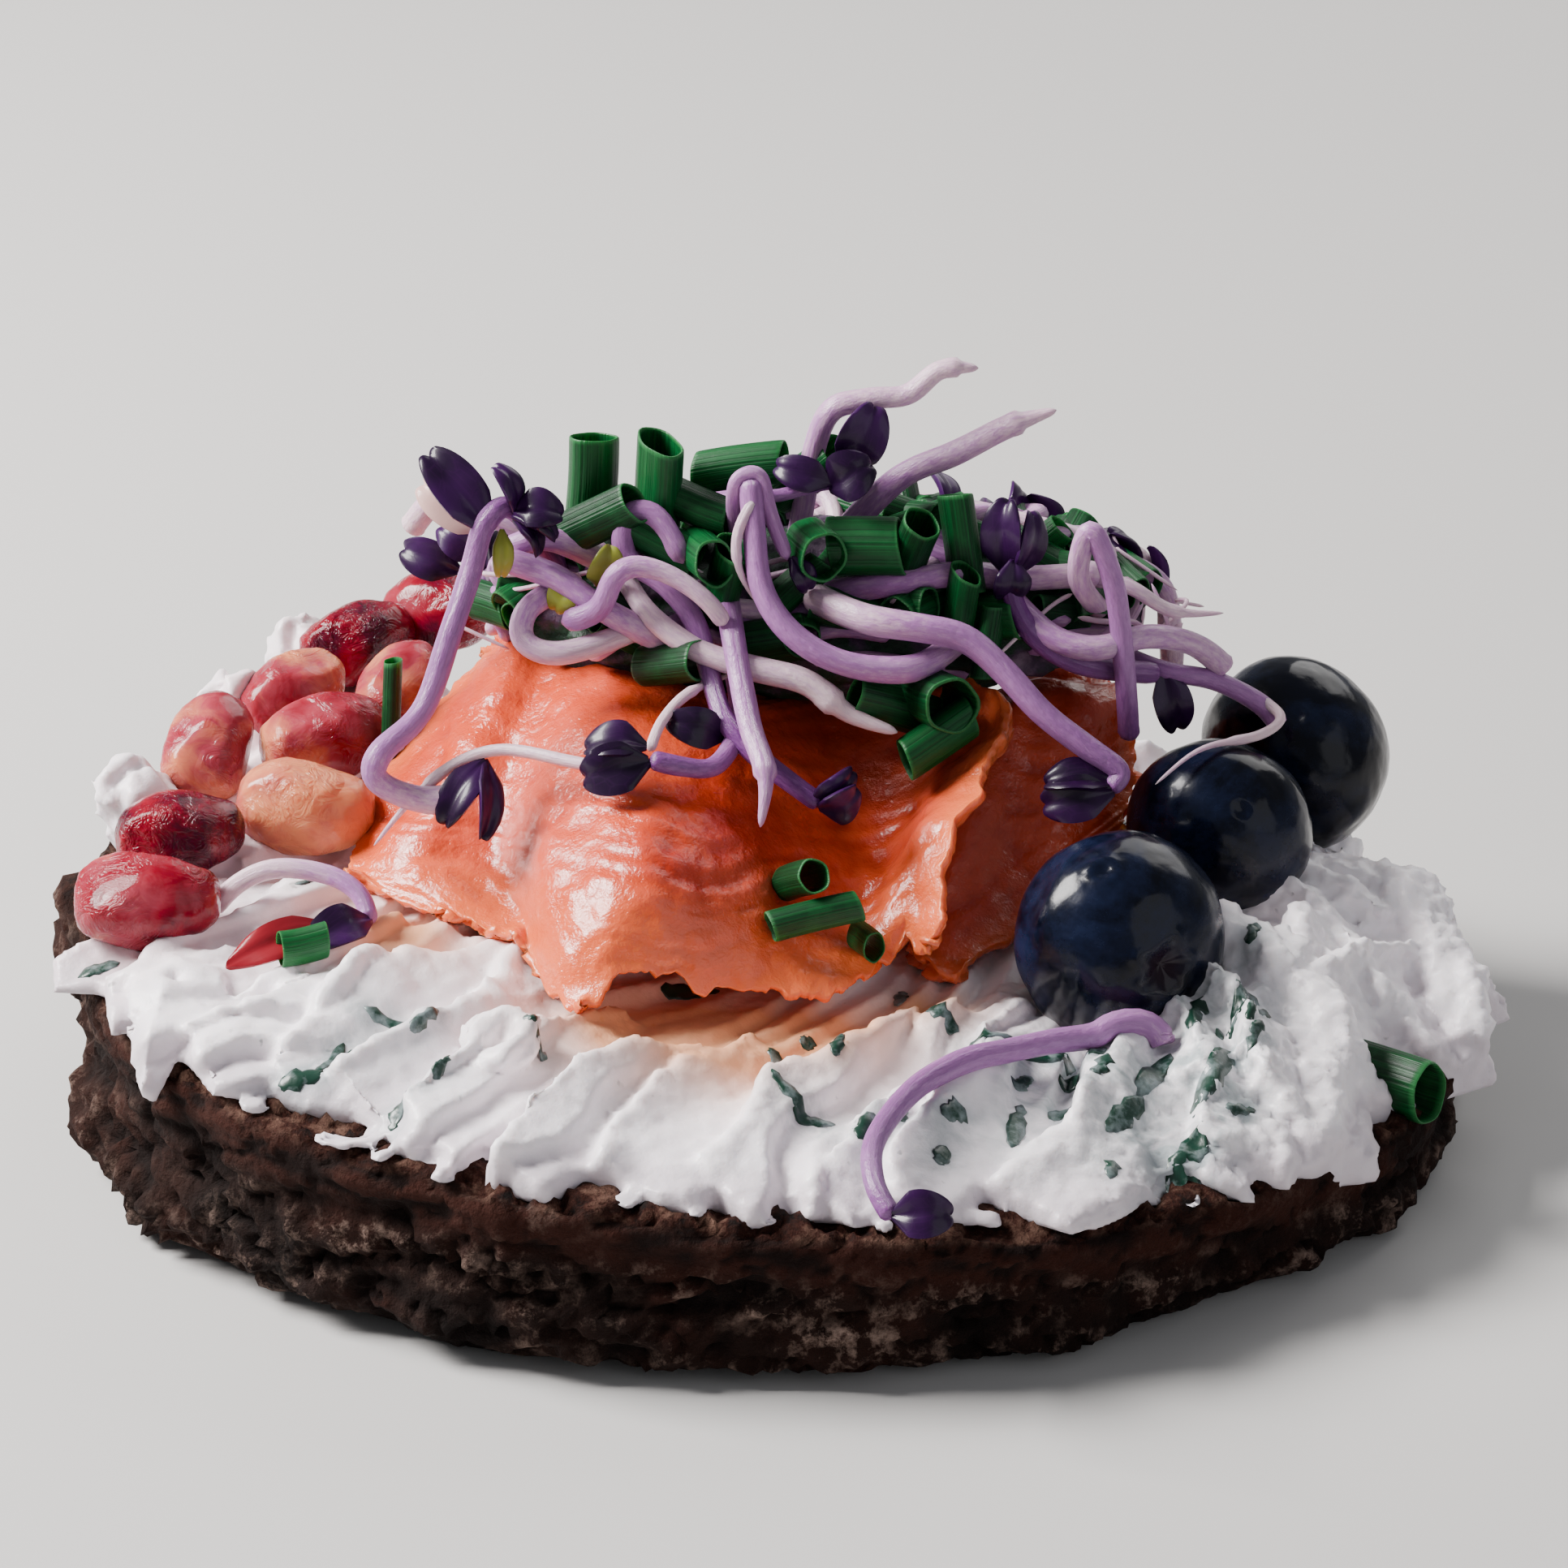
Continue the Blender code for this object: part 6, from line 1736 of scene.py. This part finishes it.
def leaf_finish(look):
    """Glossy dark leaves with faint veins and a painted blue sheen; a few pale ones and a red
    shard.
    """
    made = Finish("seed_leaves", specular=0.20, coat=0.14, coat_roughness=0.10)
    kind = made.painted("kind")
    veins = made.between(made.cells(4.5, made.around(), "DISTANCE_TO_EDGE"), 0.0, 0.06, 1, 0)
    # Painted sheen: random patches of paler purple.
    sheen = made.between(made.noise(150, 3, 0.5), 0.42, 0.72, 0.0, 0.8)
    dark = made.mix(sheen, look.leaf, look.sheen)
    dark = made.mix(made.times(veins, 0.05), dark, look.purple)
    base = made.mix(made.between(kind, 0.2, 0.8), dark, look.pale_leaf)
    base = made.mix(made.between(kind, 1.2, 1.8), base, look.shard)
    base = made.mix(made.between(kind, 2.2, 2.8), base, look.blush)
    relief = made.bump(veins, 0.03, 0.08)
    relief = made.bump(made.noise(420, 3), 0.10, 0.35, relief)
    dull = made.between(made.noise(400, 3), 0.3, 0.7, 0.28, 0.42)
    made.set(colour=base, normal=relief, roughness=dull)
    return made.material


def core_finish():
    """The heap's shaded inside as painted shade, in the dark colours of what lies on it."""
    made = Finish("heap_core", roughness=0.6, specular=0.4)
    patches = made.noise(230, 5, 0.6)
    # Painted shade: darkened greens and purples of the chives and stems.
    base = made.colours(
        patches, (0.36, (0.003, 0.010, 0.005)), (0.48, (0.004, 0.035, 0.012)),
        (0.58, (0.06, 0.03, 0.07)), (0.70, (0.22, 0.15, 0.22)),
    )
    made.set(colour=base, normal=made.bump(made.noise(500, 5, 0.7), 0.5, 1.0))
    return made.material


def tangled_core():
    """The shaded inside of the heap: a lumpy mound well under the stems, dark with painted shade.
    """
    mesh = primitive(bpy.ops.mesh.primitive_uv_sphere_add, segments=96, ring_count=64, radius=1)
    for vertex in mesh.vertices:
        lumps = lumpy(vertex.co * 6, 4)
        spread = Vector(a * b for a, b in zip(vertex.co, CORE_RADII)) * (0.97 + 0.09 * lumps)
        spread.z *= 1 - 0.4 * ramp(spread.y, 1, 6) if spread.z < 0 else 1
        vertex.co = at(*(spread + Vector(CORE_MIDDLE)))
    return add_piece("heap_core", mesh)


class SANDWICH_OT_sprouts(bpy.types.Operator):
    """The radish sprouts: stems, roots and seed leaves, over the heap's own core"""

    bl_idname = "sandwich.sprouts"
    bl_label = "Sprouts"

    def execute(self, context):
        look = context.scene.sandwich_sprouts
        names = [piece.name for piece in bpy.data.objects]
        solid = [name for name in names if name.endswith(("_slice", "_fruit"))]
        solid += [name for name in names if name.startswith("pomegranate_seed")]
        ground = ground_of("cream_spread", *solid)
        draw = random.Random(SEED)
        finish_piece(tangled_core(), core_finish(), "stem", "sprout_and_chive_heap")
        meshes = [
            stem_tube(*row, ground, look, i, TAILS.get(name, 1.0))
            for i, (name, row) in enumerate(STEMS.items())
        ]
        rows = [*filler_stems(draw), *front_stems(draw), *back_stems(draw)]
        meshes += [stem_tube(*row, ground, look, 100 + i) for i, row in enumerate(rows)]
        stems = joined_piece("sprout_stems", meshes)
        finish_piece(stems, stem_finish(look), "stem", "sprout_and_chive_heap")
        leaves = [seed_leaf(*row, seed=i) for i, row in enumerate(LEAVES)]
        for i in range(FILLER_LEAVES):
            way, rise = draw.uniform(0.1, math.pi - 0.1), draw.uniform(-0.3, 1.2)
            base = Vector(on_core(way, rise, 1.08))
            away = Vector((draw.uniform(-1, 1), draw.uniform(-0.3, 1), draw.uniform(0, 0.8)))
            tip = base + away.normalized() * draw.uniform(3.6, 5)
            width = draw.uniform(2.6, 4)
            leaves.append(seed_leaf(base, tip, width, outwards(way, rise), seed=40 + i))
        blades = joined_piece("sprout_leaves", leaves)
        finish_piece(blades, leaf_finish(look), "stem", "sprout_and_chive_heap", crease=60)
        return {"FINISHED"}


def cut_tube(look):
    """One cut of chive, a unit long and a unit in radius, bored through: modelled once."""
    bpy.ops.object.select_all(action="DESELECT")
    bpy.ops.mesh.primitive_cylinder_add(
        vertices=TUBE_SIDES, radius=1, depth=1, end_fill_type="NGON"
    )
    tube = bpy.context.object
    bpy.ops.object.mode_set(mode="EDIT")
    bpy.ops.mesh.select_mode(type="FACE")
    bpy.ops.mesh.select_all(action="DESELECT")
    work = bmesh.from_edit_mesh(tube.data)
    for face in work.faces:
        face.select = abs(face.normal.z) > 0.9
    bmesh.update_edit_mesh(tube.data)
    bpy.ops.mesh.inset(thickness=look.wall)
    bpy.ops.mesh.bridge_edge_loops()
    bpy.ops.object.mode_set(mode="OBJECT")
    work = bmesh.new()
    work.from_mesh(tube.data)
    lengthwise = [e for e in work.edges if abs(e.verts[0].co.z - e.verts[1].co.z) > 0.9]
    bmesh.ops.subdivide_edges(work, edges=lengthwise, cuts=TUBE_CUTS, use_grid_fill=True)
    rims = [
        e for e in work.edges
        if abs(abs(e.verts[0].co.z) - 0.5) < 1e-4 and abs(e.verts[0].co.z - e.verts[1].co.z) < 1e-4
        and abs(e.verts[0].co.xy.length - e.verts[1].co.xy.length) < 1e-3
    ]
    bmesh.ops.bevel(
        work, geom=rims, offset=TUBE_BEVEL, segments=2, affect="EDGES", profile=0.6
    )
    bmesh.ops.recalc_face_normals(work, faces=work.faces[:])
    work.to_mesh(tube.data)
    work.free()
    mesh = tube.data.copy()
    bpy.data.objects.remove(tube)
    x, y, z = points_of(mesh).T
    paint(mesh, "cut", np.where(np.abs(z) > CUT_RIM, 1.0, 0.0))
    turn = np.arctan2(y, x)
    map_points(mesh, "around", np.stack([np.cos(turn), np.sin(turn)], 1))
    return mesh


def placed_cut(master, middle, azimuth, rise, reach, radius, seed):
    """A copy of the cut tube at its place: a little oval, slightly bent and unevenly cut."""
    mesh = master.copy()
    draw = random.Random(SEED * 31 + seed)
    oval = draw.uniform(0.66, 0.98)
    slant = draw.uniform(-0.22, 0.22), draw.uniform(-0.22, 0.22)
    bend = draw.uniform(-0.5, 0.5)
    points = points_of(mesh)
    x, y, z = points.T.copy()
    angle = np.arctan2(y, x)
    squeeze = 1 + 0.05 * np.sin(angle * 2 + seed) + 0.03 * np.sin(angle * 5 + 2 * seed)
    x, y = x * radius * squeeze, y * radius * oval * squeeze
    along = z * reach + (x * slant[0] + y * slant[1]) * np.abs(z) * 2
    x = x + bend * (z * z - 0.25)
    set_points(mesh, np.stack([x, y, along], 1) * MM)
    turn = Matrix.Rotation(math.radians(azimuth), 4, "Z")
    turn @= Matrix.Rotation(math.radians(90 - rise), 4, "Y")
    mesh.transform(Matrix.Translation(at(*middle)) @ turn)
    paint(mesh, "shade", [draw.uniform(-1, 1)] * len(mesh.vertices))
    return mesh


def settle(mesh, ground, sunk):
    """Lowers or lifts a whole mesh until its lowest part is sunk that far in the ground."""
    room = []
    for vertex in mesh.vertices:
        hit = ground.ray_cast(vertex.co + UP * 20 * MM, DOWN)[0]
        if hit:
            room.append(vertex.co.z - hit.z)
    mesh.transform(Matrix.Translation(DOWN * (min(room) + sunk)))
    return mesh


def chive_finish(look):
    """Deep green tubes with lighter lines along them and pale cut rims."""
    made = Finish(
        "cut_chives", roughness=0.40, specular=0.22, glow=0.12, glow_radius=(0.4, 1.0, 0.4),
        glow_scale=0.8 * MM,
    )
    lines = made.noise(7.0, 3, 0.6, made.around())
    shade = made.between(made.painted("shade"), -1, 1, -0.16, 0.16)
    base = made.colours(made.plus(lines, shade), (0.36, look.green), (0.72, look.light))
    dapple = made.noise(480, 4)
    base = made.mix(made.between(dapple, 0.52, 0.72, 0, 0.5), base, look.light)
    base = made.mix(made.times(made.painted("cut"), 0.8), base, look.cut)
    relief = made.bump(lines, 0.20, 0.6)
    relief = made.bump(made.noise(1300, 3), 0.05, 0.5, relief)
    made.set(colour=base, normal=relief)
    return made.material


class SANDWICH_OT_chives(bpy.types.Operator):
    """The cut chives in the heap, on the salmon and on the cream"""

    bl_idname = "sandwich.chives"
    bl_label = "Chives"

    def execute(self, context):
        look = context.scene.sandwich_chives
        master = cut_tube(look)
        draw = random.Random(SEED + 1)
        rows = list(CHIVES)
        for i in range(FILLER_CHIVES + FRONT_CHIVES):
            front = i >= FILLER_CHIVES
            if front:
                way = draw.uniform(1.08, 1.92) * math.pi
            else:
                way = draw.uniform(-0.25, math.pi + 0.25)
            rise = draw.uniform(0.15, 0.9) if front else draw.uniform(0.05, 1.35)
            middle = on_core(way, rise, 0.98 if front else 1.03)
            turn = draw.uniform(0, 360), draw.uniform(-25, 40)
            rows.append((middle, *turn, draw.uniform(4, 6.5), draw.uniform(1.3, 1.9)))
        meshes = [placed_cut(master, *row, i) for i, row in enumerate(rows)]
        salmon = ground_of("salmon_large_slice")
        meshes += [
            settle(placed_cut(master, *row, 90 + i), salmon, 0.25 * MM)
            for i, row in enumerate(SALMON_CHIVES)
        ]
        cream = ground_of("cream_spread")
        lying = [placed_cut(master, *row, 95 + i) for i, row in enumerate(CREAM_CHIVES)]
        lying[1] = settle(lying[1], cream, 0.2 * MM)
        cuts = joined_piece("chive_cuts", meshes + lying)
        finish_piece(cuts, chive_finish(look), "stem", "sprout_and_chive_heap", crease=40)
        return {"FINISHED"}


class SANDWICH_OT_stage(bpy.types.Operator):
    """Plain pale floor, soft lights and the camera at the photo's angle"""

    bl_idname = "sandwich.stage"
    bl_label = "Stage"

    TARGET = (1.3, 0, 25.7)
    FLOOR_SIZE = 6
    FLOOR_PATCHES = (0.4, 0.4, 0.4)
    SENSOR_WIDTH = 36
    ROOM_TINT = (0.80, 0.82, 0.86)
    ROOM_LIGHT = 0.30
    # Each lamp: place and size in metres, and tint.
    LAMPS = {
        "key": ((-0.44, 0.06, 0.40), 0.26, (1.0, 0.97, 0.95)),
        "fill": ((0.55, -0.50, 0.30), 0.60, (0.93, 0.95, 1.0)),
        "rim": ((0.30, 0.55, 0.45), 0.50, (1.0, 0.98, 0.96)),
    }

    def add_aimed(self, name, data, place, aim):
        """Adds a lamp or the camera at a place, looking along its aim."""
        made = bpy.data.objects.new(name, data)
        made.location = place
        made.rotation_euler = aim.to_track_quat("-Z", "Y").to_euler()
        bpy.context.scene.collection.objects.link(made)
        return made

    def execute(self, context):
        look = context.scene.sandwich_stage
        bpy.ops.object.select_all(action="DESELECT")
        bpy.ops.mesh.primitive_plane_add(size=self.FLOOR_SIZE)
        floor = context.object
        floor.name = "floor"
        bpy.ops.object.mode_set(mode="EDIT")
        bpy.ops.mesh.subdivide(number_cuts=8)
        bpy.ops.object.mode_set(mode="OBJECT")
        made = Finish("plain_floor", roughness=0.75, specular=0.25)
        soft = made.between(made.noise(6, 3), 0.3, 0.7, 0, 0.08)
        made.set(colour=made.mix(soft, look.floor, self.FLOOR_PATCHES))
        floor.data.materials.append(made.material)
        target = at(*self.TARGET)
        for name, (place, size, tint) in self.LAMPS.items():
            data = bpy.data.lights.new(name, "AREA")
            data.size = size
            data.energy = getattr(look, name)
            data.color = tint
            self.add_aimed(name, data, place, target - Vector(place))
        world = bpy.data.worlds.new("soft_room")
        world.use_nodes = True
        backdrop = world.node_tree.nodes["Background"]
        backdrop.inputs["Color"].default_value = (*self.ROOM_TINT, 1)
        backdrop.inputs["Strength"].default_value = self.ROOM_LIGHT
        context.scene.world = world
        data = bpy.data.cameras.new("view")
        data.lens = look.lens
        data.sensor_width = self.SENSOR_WIDTH
        data.clip_start = 0.01
        back = Vector((0, -math.cos(look.elevation), math.sin(look.elevation)))
        place = target + back * look.distance
        context.scene.camera = self.add_aimed("view", data, place, -back)
        return {"FINISHED"}


OPERATORS = [
    SANDWICH_OT_stage, SANDWICH_OT_bread, SANDWICH_OT_cream, SANDWICH_OT_salmon, SANDWICH_OT_seeds,
    SANDWICH_OT_berries, SANDWICH_OT_sprouts, SANDWICH_OT_chives,
]


class SANDWICH_PT_panel(bpy.types.Panel):
    """Lists the pieces and their settings"""

    bl_label = "Open sandwich"
    bl_idname = "SANDWICH_PT_panel"
    bl_space_type = "VIEW_3D"
    bl_region_type = "UI"
    bl_category = "Sandwich"

    def draw(self, context):
        for operator in OPERATORS:
            part = operator.bl_idname.split(".")[1]
            box = self.layout.box()
            box.operator(operator.bl_idname)
            settings = getattr(context.scene, f"sandwich_{part}")
            for name in settings.bl_rna.properties.keys():
                if name not in ("rna_type", "name"):
                    box.prop(settings, name)


CLASSES = [*GROUPS.values(), *OPERATORS, SANDWICH_PT_panel]


def register():
    for made in CLASSES:
        bpy.utils.register_class(made)
    for part, group in GROUPS.items():
        setattr(bpy.types.Scene, f"sandwich_{part}", bpy.props.PointerProperty(type=group))


def unregister():
    for part in GROUPS:
        delattr(bpy.types.Scene, f"sandwich_{part}")
    for made in reversed(CLASSES):
        bpy.utils.unregister_class(made)


def main():
    register()
    bpy.ops.sandwich.stage()
    bpy.ops.sandwich.bread()
    bpy.ops.sandwich.cream()
    bpy.ops.sandwich.salmon()
    bpy.ops.sandwich.seeds()
    bpy.ops.sandwich.berries()
    bpy.ops.sandwich.sprouts()
    bpy.ops.sandwich.chives()


if __name__ == "__main__":
    main()
